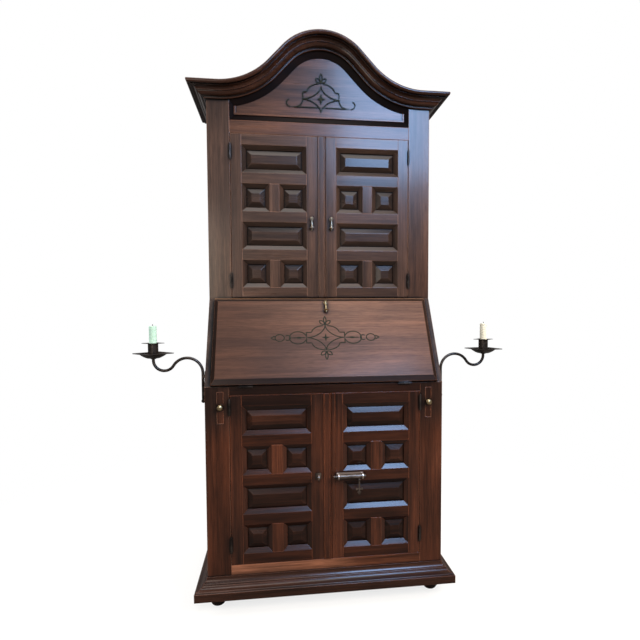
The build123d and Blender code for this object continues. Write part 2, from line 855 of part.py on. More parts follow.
for level in door_fronts:
    for name, side in sides.items():
        with BuildPart() as door_leaves:
            pin_x, axis_y = hinge_side(level, side)
            leaf_x = between(side, opening_half - hinge_gap, opening_half - hinge_gap + leaf_t)
            for low in hinge_heights(level):
                knuckle_plane = shifted(Plane.XY, pin_x, axis_y, low + third)
                tab_z = (low + third + knuckle_play / 2, low + 2 * third - knuckle_play / 2)
                board(leaf_x, (axis_y + plate_start, axis_y + leaf_reach), (low, low + door_hinge_length))
                board(leaf_x, (axis_y, axis_y + plate_start), tab_z)
                bar(knuckle_plane, pin_r + pin_play, third, mode=Mode.SUBTRACT)
                knuckle(
                    knuckle_plane,
                    knuckle_r,
                    pin_r + pin_play,
                    third,
                    knuckle_play / 2,
                    knuckle_play / 2,
                )
        door_leaves.part.label = f"{level}_{name}_door_hinge_leaves"
        export_step(door_leaves.part, f"parts/{level}_{name}_door_hinge_leaves.step")

with BuildPart() as lid_hinge_leaves:
    for side in sides.values():
        start_x = side * lid_hinge_x - lid_hinge_length / 2
        middle_third = shifted(Plane.YZ, start_x + lid_third, pin_y, pin_z)
        with BuildSketch(lid_plane) as plate:
            with Locations((start_x, lid_end_gap - leaf_t)):
                Rectangle(lid_hinge_length, leaf_t, align=(Align.MIN, Align.MIN))
        extrude(plate.sketch, amount=lid_outer - lid_border_depth)
        with BuildSketch(lid_plane) as tab:
            with Locations((start_x + lid_third + knuckle_play / 2, 0)):
                Rectangle(lid_third - knuckle_play, lid_end_gap - leaf_t, align=(Align.MIN, Align.MIN))
        extrude(tab.sketch, amount=leaf_t)
        bar(middle_third, lid_pin_r + pin_play, lid_third, mode=Mode.SUBTRACT)
        knuckle(
            middle_third,
            lid_knuckle_r,
            lid_pin_r + pin_play,
            lid_third,
            knuckle_play / 2,
            knuckle_play / 2,
        )
lid_hinge_leaves.part.label = "lid_hinge_leaves"
export_step(lid_hinge_leaves.part, "parts/lid_hinge_leaves.step")


# ---------------------------------------------------------------- drop pulls
def swing_plane(seat, reach):
    """Plane through the pivot of a drop, drawn in (out of the face, up the face)."""
    pivot = seat.offset(reach).origin
    return Plane(origin=pivot, x_dir=seat.z_dir, z_dir=seat.z_dir.cross(seat.y_dir))


def ball_end(neck_r, centre, ball_r):
    """A ball at the end of a turned neck, centred on the axis."""
    lift = sqrt(ball_r**2 - neck_r**2)
    start = -degrees(atan2(lift, neck_r))
    CenterArc((0, centre), ball_r, start, 90 - start)
    Line((neck_r, centre - lift), (neck_r, centre - lift - 1))


def hanger(pivot, ball_r):
    """Slot a ball below and in front, and put a small pin across the slot."""
    eye_room = ball_r / 2 + slot_play
    with BuildSketch(pivot) as slot:
        Circle(eye_room)
        with Locations((-eye_room, eye_room)):
            Rectangle(2 * ball_r + eye_room, 2 * ball_r + eye_room, align=(Align.MIN, Align.MAX))
    extrude(slot.sketch, amount=slot_half, both=True, mode=Mode.SUBTRACT)
    bar(pivot.offset(-ball_r * 0.7), ball_r / 5, ball_r * 1.4)


def tongue(pivot, ball_r):
    """The flat eye at the top of a drop, on the pin of its hanger."""
    with BuildSketch(pivot) as eye:
        Circle(ball_r / 2)
        Rectangle(ball_r / 2, ball_r + slot_half, align=(Align.CENTER, Align.MAX))
        Circle(ball_r / 5 + pin_play, mode=Mode.SUBTRACT)
    extrude(eye.sketch, amount=tongue_half, both=True)


def pull_post_outline():
    """Rose, neck and ball of a pull, in (radius, reach)."""
    neck_end = pull_reach - sqrt(pull_ball_r**2 - 3**2) - 1
    Polyline((0, pull_reach + pull_ball_r), (0, 0), (7, 0), (7, 1), (5, 2), (3, 2), (3, neck_end))
    ball_end(3, pull_reach, pull_ball_r)


def stem_outline():
    """Stem under the bolt's rod with the ball that carries the drop, in (radius, distance down)."""
    neck_end = stem_length - sqrt(stem_ball_r**2 - stem_r**2) - 1
    Polyline((0, stem_length + stem_ball_r), (0, 0), (stem_r, 0), (stem_r, neck_end))
    ball_end(stem_r, stem_length, stem_ball_r)


def bell_outline():
    """Drop of a pull below its eye: slightly flared shank, wide flange and a small ball."""
    top = -pull_ball_r - 0.8
    Polyline((0, top), (3.4, top), (2.8, top - 2.5), (3.6, -30), (pull_bell_r, -33.5))
    Polyline((pull_bell_r, -33.5), (pull_bell_r, -35), (4.5, -37.5), (2.2, -38.5))
    RadiusArc((2.2, -38.5), (3.0, -41), 2)
    dome(3.0, -41, -pull_length)
    Line((0, -pull_length), (0, top))


pull_seats = {
    "upper_left": shifted(Plane.XZ, -pull_x, upper_y, pull_z),
    "upper_right": shifted(Plane.XZ, pull_x, upper_y, pull_z),
    "lid": Plane(
        origin=lid_plane.from_local_coords((lid_pull_x, lid_pull_along, lid_outer)),
        x_dir=lid_plane.x_dir,
        z_dir=lid_plane.z_dir,
    ),
}
for name, seat in pull_seats.items():
    pivot = swing_plane(seat, pull_reach)
    with BuildPart() as post:
        turned(Plane(origin=seat.origin, x_dir=seat.x_dir, z_dir=seat.y_dir * -1), pull_post_outline)
        hanger(pivot, pull_ball_r)
    post.part.label = f"{name}_pull_post"
    export_step(post.part, f"parts/{name}_pull_post.step")

    with BuildPart() as drop:
        tongue(pivot, pull_ball_r)
        turned(seat.offset(pull_reach), bell_outline)
    drop.part.label = f"{name}_pull_drop"
    export_step(drop.part, f"parts/{name}_pull_drop.step")

# ---------------------------------------------------------------- bolt
bolt_y = front_y - bolt_stand_off
bolt_bore = rod_r + slot_play


def across(x):
    """Plane square to the bolt at x."""
    return shifted(Plane.YZ, x, bolt_y, bolt_z)


def staple(x, radius):
    """A collar round the bolt on a square foot that is fixed to the door."""
    bar(across(x - collar_w / 2), radius, collar_w)
    board(
        (x - collar_w / 2, x + collar_w / 2),
        (bolt_y, front_y),
        (bolt_z - rod_r, bolt_z + rod_r),
    )


with BuildPart() as bolt_keeper:
    staple(keeper_x, keeper_r)
    board(
        (keeper_x - 2 * collar_w, keeper_x + 2 * collar_w),
        (front_y - leaf_t, front_y),
        (bolt_z - collar_r, bolt_z + collar_r),
    )
    bar(across(keeper_x - collar_w), rod_r + keeper_play, 2 * collar_w, mode=Mode.SUBTRACT)
bolt_keeper.part.label = "bolt_keeper"
export_step(bolt_keeper.part, "parts/bolt_keeper.step")

with BuildPart() as bolt_barrel:
    staple_positions = (barrel_x[0] - collar_w / 2, barrel_x[1] + collar_w / 2)
    for x in staple_positions:
        staple(x, collar_r)
    bar(across(barrel_x[0]), barrel_r, barrel_x[1] - barrel_x[0])
    board(
        (staple_positions[0] - collar_w, staple_positions[1] + collar_w),
        (front_y - leaf_t, front_y),
        (bolt_z - barrel_r, bolt_z + barrel_r),
    )
    bar(across(barrel_x[0] - collar_w), bolt_bore, barrel_x[1] - barrel_x[0] + collar_w - 1, mode=Mode.SUBTRACT)
    slot_x = (stem_x - stem_r - slot_play, stem_x + bolt_travel + stem_r + slot_play)
    board(
        slot_x,
        (bolt_y - stem_r - slot_play, bolt_y + stem_r + slot_play),
        (bolt_z - 2 * barrel_r, bolt_z),
        mode=Mode.SUBTRACT,
    )
    knob_neck = barrel_x[1] + collar_w
    bar(across(knob_neck), rod_r / 2, collar_w)
    with Locations((knob_neck + collar_w, bolt_y, bolt_z)):
        Sphere(rod_r)
bolt_barrel.part.label = "bolt_barrel"
export_step(bolt_barrel.part, "parts/bolt_barrel.step")

rod_x = (rod_thrown[0] + bolt_travel, rod_thrown[1] + bolt_travel)
drop_x = stem_x + bolt_travel
bolt_pivot = swing_plane(shifted(Plane.XZ, drop_x, bolt_y, bolt_z - stem_length), 0)
with BuildPart() as bolt_rod:
    neck_x = rod_x[0] + 2 * rod_tip_r
    bar(across(neck_x), rod_r, rod_x[1] - neck_x)
    bar(across(neck_x - rod_tip_r), rod_r / 2, rod_tip_r)
    with Locations((rod_x[0] + rod_tip_r, bolt_y, bolt_z)):
        Sphere(rod_tip_r)
    turned(Plane(origin=(drop_x, bolt_y, bolt_z), x_dir=(1, 0, 0), z_dir=(0, 1, 0)), stem_outline)
    hanger(bolt_pivot, stem_ball_r)
bolt_rod.part.label = "bolt_rod"
export_step(bolt_rod.part, "parts/bolt_rod.step")

with BuildPart() as bolt_drop:
    tongue(bolt_pivot, stem_ball_r)
    with BuildSketch(shifted(Plane.XZ, drop_x, bolt_y, bolt_z - stem_length)) as pendant:
        neck = stem_ball_r + 1
        with Locations((0, -neck)):
            Rectangle(5, pendant_length - neck - 5, align=(Align.CENTER, Align.MAX))
        with Locations((0, -pendant_cross)):
            Rectangle(17, 5)
        with Locations((-9, -pendant_cross), (9, -pendant_cross), (0, 5 - pendant_length)):
            Circle(4)
        with Locations((-4.5, 9 - pendant_length), (4.5, 9 - pendant_length)):
            Circle(3)
    extrude(pendant.sketch, amount=pendant_t / 2, both=True)
bolt_drop.part.label = "bolt_drop"
export_step(bolt_drop.part, "parts/bolt_drop.step")

# ---------------------------------------------------------------- candle arms, pans, sockets and candles
arm_y = front_y + arm_behind_front
arm_x = case_half + arm_stand_off
arm_bends = arm_crest_r + arm_trough_r
bend_rise = arm_bends - (arm_crest_z - arm_trough_z)
bend_run = sqrt(arm_bends**2 - bend_rise**2)
bend_turn = 180 - degrees(atan2(bend_rise, bend_run))
arm_end_x = arm_x + arm_bends + bend_run
joint_tangent = (cos(radians(90 - bend_turn)), sin(radians(90 - bend_turn)))
first_bend_z = arm_crest_z - arm_crest_r
join_x = arm_x + arm_crest_r + bend_run * arm_crest_r / arm_bends
join_z = first_bend_z + bend_rise * arm_crest_r / arm_bends
arm_top_z = arm_trough_z + arm_trough_r

with BuildPart() as candle_arms:
    with BuildLine(front_plane(arm_y)) as arm_path:
        Line((arm_x, arm_foot_z), (arm_x, first_bend_z))
        JernArc((arm_x, first_bend_z), (0, 1), arm_crest_r, -bend_turn)
        JernArc((join_x, join_z), joint_tangent, arm_trough_r, bend_turn)
        Line((arm_end_x, arm_top_z), (arm_end_x, pan_floor_z))
    with BuildSketch(shifted(Plane.XY, arm_x, arm_y, arm_foot_z)) as arm_section:
        Circle(arm_rod_r)
    sweep(arm_section.sketch, path=arm_path.wire())
    with Locations((arm_x, arm_y, arm_foot_z)):
        Sphere(arm_rod_r + 2)
    bar(shifted(Plane.XY, arm_end_x, arm_y, pan_floor_z - 3), arm_rod_r + 4, 3)
    board(
        (case_half, case_half + strap_t),
        (arm_y - strap_width / 2, arm_y + strap_width / 2),
        strap_z,
    )
    for lug_z in strap_lugs:
        board((case_half, arm_x), (arm_y - arm_rod_r, arm_y + arm_rod_r), (lug_z - arm_rod_r, lug_z + arm_rod_r))
    mirror(about=Plane.YZ)
candle_arms.part.label = "candle_arms"
export_step(candle_arms.part, "parts/candle_arms.step")


def dish_outline():
    """Round bowl of a drip pan, in (radius, height)."""
    floor_top = pan_floor_z + pan_sheet
    Polyline((0, floor_top), (0, pan_floor_z), (pan_floor_r, pan_floor_z))
    RadiusArc((pan_floor_r, pan_floor_z), (pan_bowl_r, pan_rim_z - pan_sheet), -70)
    Polyline((pan_bowl_r, pan_rim_z - pan_sheet), (pan_bowl_r + pan_sheet, pan_rim_z - pan_sheet))
    Line((pan_bowl_r + pan_sheet, pan_rim_z - pan_sheet), (pan_bowl_r + pan_sheet, pan_rim_z))
    Line((pan_bowl_r + pan_sheet, pan_rim_z), (pan_bowl_r - pan_sheet, pan_rim_z))
    RadiusArc((pan_bowl_r - pan_sheet, pan_rim_z), (pan_floor_r, floor_top), 70)
    Line((pan_floor_r, floor_top), (0, floor_top))


with BuildPart() as drip_pans:
    for name, side in sides.items():
        pan_x = side * arm_end_x
        with BuildSketch(shifted(Plane.XY, pan_x, arm_y, pan_rim_z - pan_sheet)) as sheet:
            RectangleRounded(pan_side, pan_side, pan_corner_r, rotation=pan_turns[name])
            Circle(pan_bowl_r, mode=Mode.SUBTRACT)
        extrude(sheet.sketch, amount=pan_sheet)
        turned(upright(pan_x, arm_y), dish_outline)
drip_pans.part.label = "drip_pans"
export_step(drip_pans.part, "parts/drip_pans.step")

socket_bore = candle_r + candle_play


def socket_outline():
    """Candle socket: foot, waist and cup, in (radius, height)."""
    foot = pan_floor_z + pan_sheet
    Polyline((0, candle_foot_z), (0, foot), (13, foot), (13, foot + 2))
    RadiusArc((13, foot + 2), (6, foot + 5), 9)
    RadiusArc((6, foot + 5), (socket_r, candle_foot_z - 2), 12)
    Polyline((socket_r, candle_foot_z - 2), (socket_r, socket_top_z), (socket_bore, socket_top_z))
    Polyline((socket_bore, socket_top_z), (socket_bore, candle_foot_z), (0, candle_foot_z))


with BuildPart() as candle_sockets:
    for name, side in sides.items():
        pan_x = side * arm_end_x
        turned(upright(pan_x, arm_y), socket_outline)
        petal_plane = shifted(Plane.XY, pan_x, arm_y, socket_top_z - petal_t)
        with BuildSketch(petal_plane) as petals:
            Rectangle(petal_side, petal_side, rotation=45)
            with PolarLocations(petal_side / 2 + petal_hollow_r - petal_t, 4, start_angle=45):
                Circle(petal_hollow_r, mode=Mode.SUBTRACT)
            Circle(socket_bore, mode=Mode.SUBTRACT)
        extrude(petals.sketch, amount=petal_t)
candle_sockets.part.label = "candle_sockets"
export_step(candle_sockets.part, "parts/candle_sockets.step")


def candle_outline():
    """A short candle with a soft shoulder and its wick."""
    Polyline((0, candle_top_z + wick_length), (0, candle_foot_z), (candle_r, candle_foot_z))
    Line((candle_r, candle_foot_z), (candle_r, candle_top_z - 2))
    RadiusArc((candle_r, candle_top_z - 2), (candle_r - 2, candle_top_z), -2)
    Polyline((candle_r - 2, candle_top_z), (wick_r, candle_top_z), (wick_r, candle_top_z + wick_length))
    Line((wick_r, candle_top_z + wick_length), (0, candle_top_z + wick_length))


for name, side in sides.items():
    with BuildPart() as candle:
        turned(upright(side * arm_end_x, arm_y), candle_outline)
    candle.part.label = f"{name}_candle"
    export_step(candle.part, f"parts/{name}_candle.step")

# ---------------------------------------------------------------- pigeonholes and drawers
gallery_y = back_face_y - gallery_depth
gallery_span = (gallery_y, back_face_y)
drawer_top = desk_height + drawer_row
divider_half = gallery_board_t / 2
with BuildPart() as gallery:
    board((-inner_half, inner_half), gallery_span, (drawer_top, drawer_top + gallery_board_t))
    board((-divider_half, divider_half), gallery_span, (desk_height, drawer_top - glue_line))
    for divider_x in (-inner_half / 2, 0, inner_half / 2):
        board(
            (divider_x - divider_half, divider_x + divider_half),
            gallery_span,
            (drawer_top + gallery_board_t + glue_line, desk_top_bottom),
        )
gallery.part.label = "gallery"
export_step(gallery.part, "parts/gallery.step")


def drawer_knob_outline():
    """A small turned wooden knob, in (radius, reach)."""
    Polyline((0, 18), (0, 0), (drawer_knob_r / 2, 0))
    RadiusArc((drawer_knob_r / 2, 0), (drawer_knob_r, 9), 12)
    dome(drawer_knob_r, 9, 18)


for name, side in sides.items():
    drawer_x = between(side, divider_half + drawer_play, inner_half - drawer_play)
    drawer_z = (desk_height + loper_play, drawer_top - drawer_play)
    walls_x = (drawer_x[0] + drawer_wall_t, drawer_x[1] - drawer_wall_t)
    walls_y = (gallery_y + drawer_front_t + glue_line, back_face_y - drawer_play)
    floor_z = (drawer_z[0] + glue_line, drawer_z[0] + drawer_floor_t)
    with BuildPart() as drawer:
        board(drawer_x, (gallery_y, gallery_y + drawer_front_t), drawer_z)
        board((drawer_x[0], walls_x[0]), walls_y, drawer_z)
        board((walls_x[1], drawer_x[1]), walls_y, drawer_z)
        inner_x = (walls_x[0] + glue_line, walls_x[1] - glue_line)
        board(inner_x, (walls_y[1] - drawer_wall_t, walls_y[1]), (floor_z[1] + glue_line, drawer_z[1]))
        board(inner_x, walls_y, floor_z)
        knob_at = facing((drawer_x[0] + drawer_x[1]) / 2, gallery_y, (drawer_z[0] + drawer_z[1]) / 2)
        turned(knob_at, drawer_knob_outline)
    drawer.part.label = f"{name}_gallery_drawer"
    export_step(drawer.part, f"parts/{name}_gallery_drawer.step")
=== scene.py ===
"""Dresses a tall writing cabinet: woods, ironwork, brass, wax, painted strapwork, and the stage."""

import bpy
import numpy as np
from bpy.props import FloatProperty, FloatVectorProperty
from bpy.types import Operator, Panel, PropertyGroup
from mathutils import Matrix, Vector


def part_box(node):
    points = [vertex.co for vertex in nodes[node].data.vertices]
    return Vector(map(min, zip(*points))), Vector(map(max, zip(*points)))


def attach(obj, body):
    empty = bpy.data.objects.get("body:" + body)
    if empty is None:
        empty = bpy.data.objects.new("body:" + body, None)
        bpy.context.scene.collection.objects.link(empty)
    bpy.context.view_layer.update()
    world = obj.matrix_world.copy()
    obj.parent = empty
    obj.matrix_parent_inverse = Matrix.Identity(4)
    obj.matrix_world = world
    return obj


bl_info = {
    "name": "Writing Cabinet Finishes",
    "version": (1, 0, 0),
    "blender": (4, 5, 0),
    "location": "View3D > Sidebar > Cabinet",
    "description": "Builds the finishes, the painted ornament and the stage of a slant-front writing cabinet",
    "category": "Object",
}

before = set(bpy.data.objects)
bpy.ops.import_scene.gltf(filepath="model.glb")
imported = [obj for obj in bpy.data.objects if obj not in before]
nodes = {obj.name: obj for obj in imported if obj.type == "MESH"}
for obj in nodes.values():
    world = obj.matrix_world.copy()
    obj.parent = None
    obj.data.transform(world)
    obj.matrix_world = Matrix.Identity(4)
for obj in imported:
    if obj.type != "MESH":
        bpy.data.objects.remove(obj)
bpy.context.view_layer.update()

LEVELS = ("upper", "lower")
SIDES = ("left", "right")
X_AXIS, Y_AXIS, Z_AXIS = 0, 1, 2

# widths of the band of painted shade round the lid's moulded edge, at its sides and top and at its foot
BORDER_SIDE, BORDER_FOOT = 0.0125, 0.0195
# how far the wick stands above the wax
WICK_LENGTH = 0.006
# how far from an arris its rubbed wear and painted highlight reach
ARRIS_REACH = 0.0022
# the tone that arrises are mixed towards, as rubbed wear and a painted highlight, as a share of the wood's
ARRIS_WEAR_AND_HIGHLIGHT_TONE = 3.4
# the part of the bolt barrel's greatest radius from which its iron is worn bright and painted with a highlight
RIM_START = 0.82
# colours of old wax and painted shade in corners, of a burnt wick, and of iron worn bright and painted with a
# highlight
OLD_WAX_AND_SHADE, CHARRED, BRIGHT_IRON_AND_HIGHLIGHT = (0.05, 0.04, 0.04), (0.02, 0.018, 0.016), (0.62, 0.50, 0.43)
# how far the edges of the paint are sunk below the wood's face
PAINT_SUNK = 0.0001
# middle of the lid's star: to the right of the lid's middle, and up the slope from its foot
LID_STAR = (0.0035, 0.1720)
# middle of the pediment's star: to the right of the middle, and above the floor
PEDIMENT_STAR = (0.0015, 1.8345)
# width of the pediment's lines, as a share of the lid's
PEDIMENT_LINE = 0.72
# exponent of the stars' outline
STAR_POWER = 0.62
# half the width of the floor
FLOOR_REACH = 9.0
# the floor's tone as diffuse and as glossy rays see it, as shares of what the camera sees
FLOOR_IN_DIFFUSE, FLOOR_IN_GLOSS = 0.08, 0.12


# ---------------------------------------------------------------- the lid's own plane
def corner_points(node):
    """All corner points of a node, as rows of (x, y, z)."""
    mesh = nodes[node].data
    points = np.empty(len(mesh.vertices) * 3, np.float32)
    mesh.vertices.foreach_get("co", points)
    return points.reshape(-1, 3).astype(float)


def lid_plane():
    """A point on the lid's outer face, the direction up the slope and the face's outward direction.

    The face's direction is that of the mesh's largest facet that looks forward and up, and the face lies
    at the farthest point that way.
    """
    mesh = nodes["lid"].data
    count = len(mesh.polygons)
    areas = np.empty(count, np.float32)
    normals = np.empty(count * 3, np.float32)
    mesh.polygons.foreach_get("area", areas)
    mesh.polygons.foreach_get("normal", normals)
    normals = normals.reshape(-1, 3)
    outward = (np.abs(normals[:, X_AXIS]) < 0.01) & (normals[:, Y_AXIS] < -0.1) & (normals[:, Z_AXIS] > 0.1)
    largest = normals[outward][np.argmax(areas[outward])].astype(float)
    normal = largest / np.linalg.norm(largest)
    along = np.cross(normal, (1.0, 0.0, 0.0))
    points = corner_points("lid")
    height = (points @ normal).max()
    foot = (points @ along).min()
    return normal * height + along * foot, along, normal


def below_desk(recipe, place):
    """1 up to the top of the writing board and 0 above it."""
    height = recipe.make("ShaderNodeSeparateXYZ", {0: place}).outputs["Z"]
    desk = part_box("desk_board")[1].z
    return recipe.make("ShaderNodeMath", {0: height, 1: desk + 0.0001}, operation="LESS_THAN").outputs[0]


def lid_edge_shade(recipe, place):
    """1 in a band along the lid's four edges and 0 inside it: the band where shade is painted on the lid's moulded
    edge.
    """
    _, along, _ = lid_plane()
    points = corner_points("lid")
    half_width = np.abs(points[:, X_AXIS]).max()
    slope = points @ along
    side = recipe.make("ShaderNodeSeparateXYZ", {0: place}).outputs["X"]
    side = recipe.make("ShaderNodeMath", {0: side}, operation="ABSOLUTE").outputs[0]
    up = recipe.make("ShaderNodeVectorMath", {0: place, 1: tuple(along)}, operation="DOT_PRODUCT").outputs["Value"]
    edge = None
    for value, limit, kind in (
        (side, half_width - BORDER_SIDE, "GREATER_THAN"),
        (up, slope.min() + BORDER_FOOT, "LESS_THAN"),
        (up, slope.max() - BORDER_SIDE, "GREATER_THAN"),
    ):
        inside = recipe.make("ShaderNodeMath", {0: value, 1: limit}, operation=kind).outputs[0]
        if edge is None:
            edge = inside
        else:
            edge = recipe.make("ShaderNodeMath", {0: edge, 1: inside}, operation="MAXIMUM").outputs[0]
    return edge


def above(low, high):
    """A mask that rises from 0 at one height to 1 at another."""

    def mask(recipe, place):
        height = recipe.make("ShaderNodeSeparateXYZ", {0: place}).outputs["Z"]
        rise = recipe.make(
            "ShaderNodeMapRange", {"Value": height, "From Min": low, "From Max": high}, interpolation_type="SMOOTHSTEP"
        )
        return rise.outputs[0]

    return mask


def painted_light_patch(centre, reach):
    """A mask that is 1 at a place on the object and fades to 0 at a distance from it, for a patch of painted light and
    reflection, or of painted shade where its multiplier darkens.
    """

    def mask(recipe, place):
        away = recipe.make("ShaderNodeVectorMath", {0: place, 1: centre}, operation="DISTANCE").outputs["Value"]
        fade = recipe.make(
            "ShaderNodeMapRange",
            {"Value": away, "From Min": reach, "From Max": 0.1 * reach},
            interpolation_type="SMOOTHSTEP",
        )
        return fade.outputs[0]

    return mask


# ---------------------------------------------------------------- properties
class WoodSettings(PropertyGroup):
    """Colours and gloss of the cabinet's woods."""

    upper_tone: FloatVectorProperty(
        name="Upper case", description="Walnut of the upper case and its doors",
        subtype="COLOR", size=3, min=0.0, max=1.0, default=(0.088, 0.046, 0.032),
    )
    lower_tone: FloatVectorProperty(
        name="Lower case", description="Redder walnut of the lower case and its doors",
        subtype="COLOR", size=3, min=0.0, max=1.0, default=(0.066, 0.020, 0.0097),
    )
    lid_tone: FloatVectorProperty(
        name="Lid", description="Faded walnut of the slant lid",
        subtype="COLOR", size=3, min=0.0, max=1.0, default=(0.078, 0.034, 0.0195),
    )
    moulding_tone: FloatVectorProperty(
        name="Mouldings", description="Dark walnut of the cornice, base moulding and feet",
        subtype="COLOR", size=3, min=0.0, max=1.0, default=(0.046, 0.017, 0.010),
    )
    inner_tone: FloatVectorProperty(
        name="Inside boards", description="Plain unpolished boards inside and behind",
        subtype="COLOR", size=3, min=0.0, max=1.0, default=(0.235, 0.125, 0.065),
    )
    ring_spacing: FloatProperty(
        name="Grain spacing", description="Width of one band of the grain",
        unit="LENGTH", min=0.005, max=0.2, default=0.030,
    )
    polish: FloatProperty(
        name="Polish", description="Strength of the clear polish over the wood",
        subtype="FACTOR", min=0.0, max=1.0, default=0.30,
    )


class MetalSettings(PropertyGroup):
    """Colours of iron, brass and wax."""

    iron_tone: FloatVectorProperty(
        name="Iron", description="Waxed wrought iron",
        subtype="COLOR", size=3, min=0.0, max=1.0, default=(0.042, 0.034, 0.030),
    )
    bolt_tone: FloatVectorProperty(
        name="Bolt", description="Iron of the bolt, worn bright by handling",
        subtype="COLOR", size=3, min=0.0, max=1.0, default=(0.110, 0.084, 0.070),
    )
    brass_tone: FloatVectorProperty(
        name="Brass", description="Worn brass of the knobs and the lid's pull",
        subtype="COLOR", size=3, min=0.0, max=1.0, default=(0.700, 0.530, 0.290),
    )
    pull_tone: FloatVectorProperty(
        name="Door pulls", description="Pale brass of the upper doors' pulls",
        subtype="COLOR", size=3, min=0.0, max=1.0, default=(0.860, 0.760, 0.610),
    )
    left_wax: FloatVectorProperty(
        name="Left candle", description="Pale green wax",
        subtype="COLOR", size=3, min=0.0, max=1.0, default=(0.430, 0.640, 0.560),
    )
    right_wax: FloatVectorProperty(
        name="Right candle", description="Ivory wax",
        subtype="COLOR", size=3, min=0.0, max=1.0, default=(0.600, 0.590, 0.510),
    )


class OrnamentSettings(PropertyGroup):
    """Sizes and colour of the painted strapwork."""

    line_tone: FloatVectorProperty(
        name="Line", description="Dark grey-green paint",
        subtype="COLOR", size=3, min=0.0, max=1.0, default=(0.012, 0.014, 0.010),
    )
    line_width: FloatProperty(
        name="Line width", description="Width of a painted line",
        unit="LENGTH", min=0.001, max=0.01, default=0.0042,
    )
    line_height: FloatProperty(
        name="Line height", description="Thickness of the paint over the wood",
        unit="LENGTH", min=0.0001, max=0.002, default=0.0004,
    )


class StageSettings(PropertyGroup):
    """Floor and lamps."""

    floor_tone: FloatVectorProperty(
        name="Floor", description="Plain pale floor",
        subtype="COLOR", size=3, min=0.0, max=1.0, default=(0.80, 0.80, 0.79),
    )
    window_power: FloatProperty(
        name="Window lamp", description="Power of the lamp that only gloss shows, at the right", min=0.0, max=1000.0,
        default=80.0,
    )
    sheen_power: FloatProperty(
        name="Left sheen", description="Power of the lamp that only gloss shows, at the left", min=0.0, max=1000.0,
        default=8.0,
    )
    fill_power: FloatProperty(
        name="Fill lamp", description="Power of the large soft lamp in front", min=0.0, max=1000.0, default=84.0,
    )
    right_power: FloatProperty(
        name="Right lamp", description="Power of the soft lamp at the right", min=0.0, max=1000.0, default=170.0,
    )
    side_power: FloatProperty(
        name="Side lamps", description="Power of each soft lamp at the sides and behind", min=0.0, max=1000.0,
        default=120.0,
    )
    top_power: FloatProperty(
        name="Top lamp", description="Power of the large soft lamp overhead", min=0.0, max=1000.0, default=36.0,
    )
    room_light: FloatProperty(
        name="Room light", description="Strength of the even light from all round", min=0.0, max=3.0, default=0.10,
    )
    room_gloss: FloatProperty(
        name="Room gloss", description="Strength of the surroundings as gloss and metal mirror them", min=0.0,
        max=3.0, default=0.26,
    )


# ---------------------------------------------------------------- node helpers
class Recipe:
    """A material under construction: makes nodes, sets their sockets and joins them."""

    def __init__(self, name):
        self.material = bpy.data.materials.new(name)
        self.material.use_nodes = True
        self.tree = self.material.node_tree
        self.tree.nodes.clear()
        self.output = self.tree.nodes.new("ShaderNodeOutputMaterial")

    def make(self, kind, sockets=None, **settings):
        """A node of a kind, with its settings and with numbers or links on its sockets."""
        node = self.tree.nodes.new(kind)
        for key, value in settings.items():
            setattr(node, key, value)
        for key, value in (sockets or {}).items():
            if isinstance(value, bpy.types.NodeSocket):
                self.tree.links.new(value, node.inputs[key])
            else:
                node.inputs[key].default_value = value
        return node

    def grain(self, place, axis, across, along, **noise):
        """A noise drawn out along one axis: one scale across the grain and a smaller one along it."""
        scale = [across, across, across]
        scale[axis] = along
        drawn = self.make("ShaderNodeMapping", {"Vector": place, "Scale": scale})
        return self.make("ShaderNodeTexNoise", {"Vector": drawn.outputs[0], "Scale": 1.0, **noise}).outputs["Fac"]

    def ramp(self, factor, stops):
        """A colour ramp on a factor, with (place, colour) stops."""
        node = self.make("ShaderNodeValToRGB", {"Fac": factor})
        for place, _ in stops[2:]:
            node.color_ramp.elements.new(place)
        for element, (place, colour) in zip(node.color_ramp.elements, stops):
            element.position = place
            element.color = opaque(colour)
        return node.outputs["Color"]

    def mix(self, factor, first, second, blend="MIX"):
        """Two colours mixed by a factor."""
        node = self.make("ShaderNodeMix", data_type="RGBA", blend_type=blend)
        for socket, value in ((0, factor), (6, first), (7, second)):
            if isinstance(value, bpy.types.NodeSocket):
                self.tree.links.new(value, node.inputs[socket])
            else:
                node.inputs[socket].default_value = value
        return node.outputs[2]

    def finish(self, shader):
        """Joins the shader to the output and returns the material."""
        self.tree.links.new(shader.outputs[0], self.output.inputs["Surface"])
        return self.material


def scaled(tone, share):
    """A colour made darker or lighter by a share."""
    return tuple(min(1.0, channel * share) for channel in tone)


def tinted(tone, tint):
    """A colour multiplied by another."""
    return tuple(channel * share for channel, share in zip(tone, tint))


def opaque(tone):
    """A colour with full alpha."""
    return (*tone, 1.0)


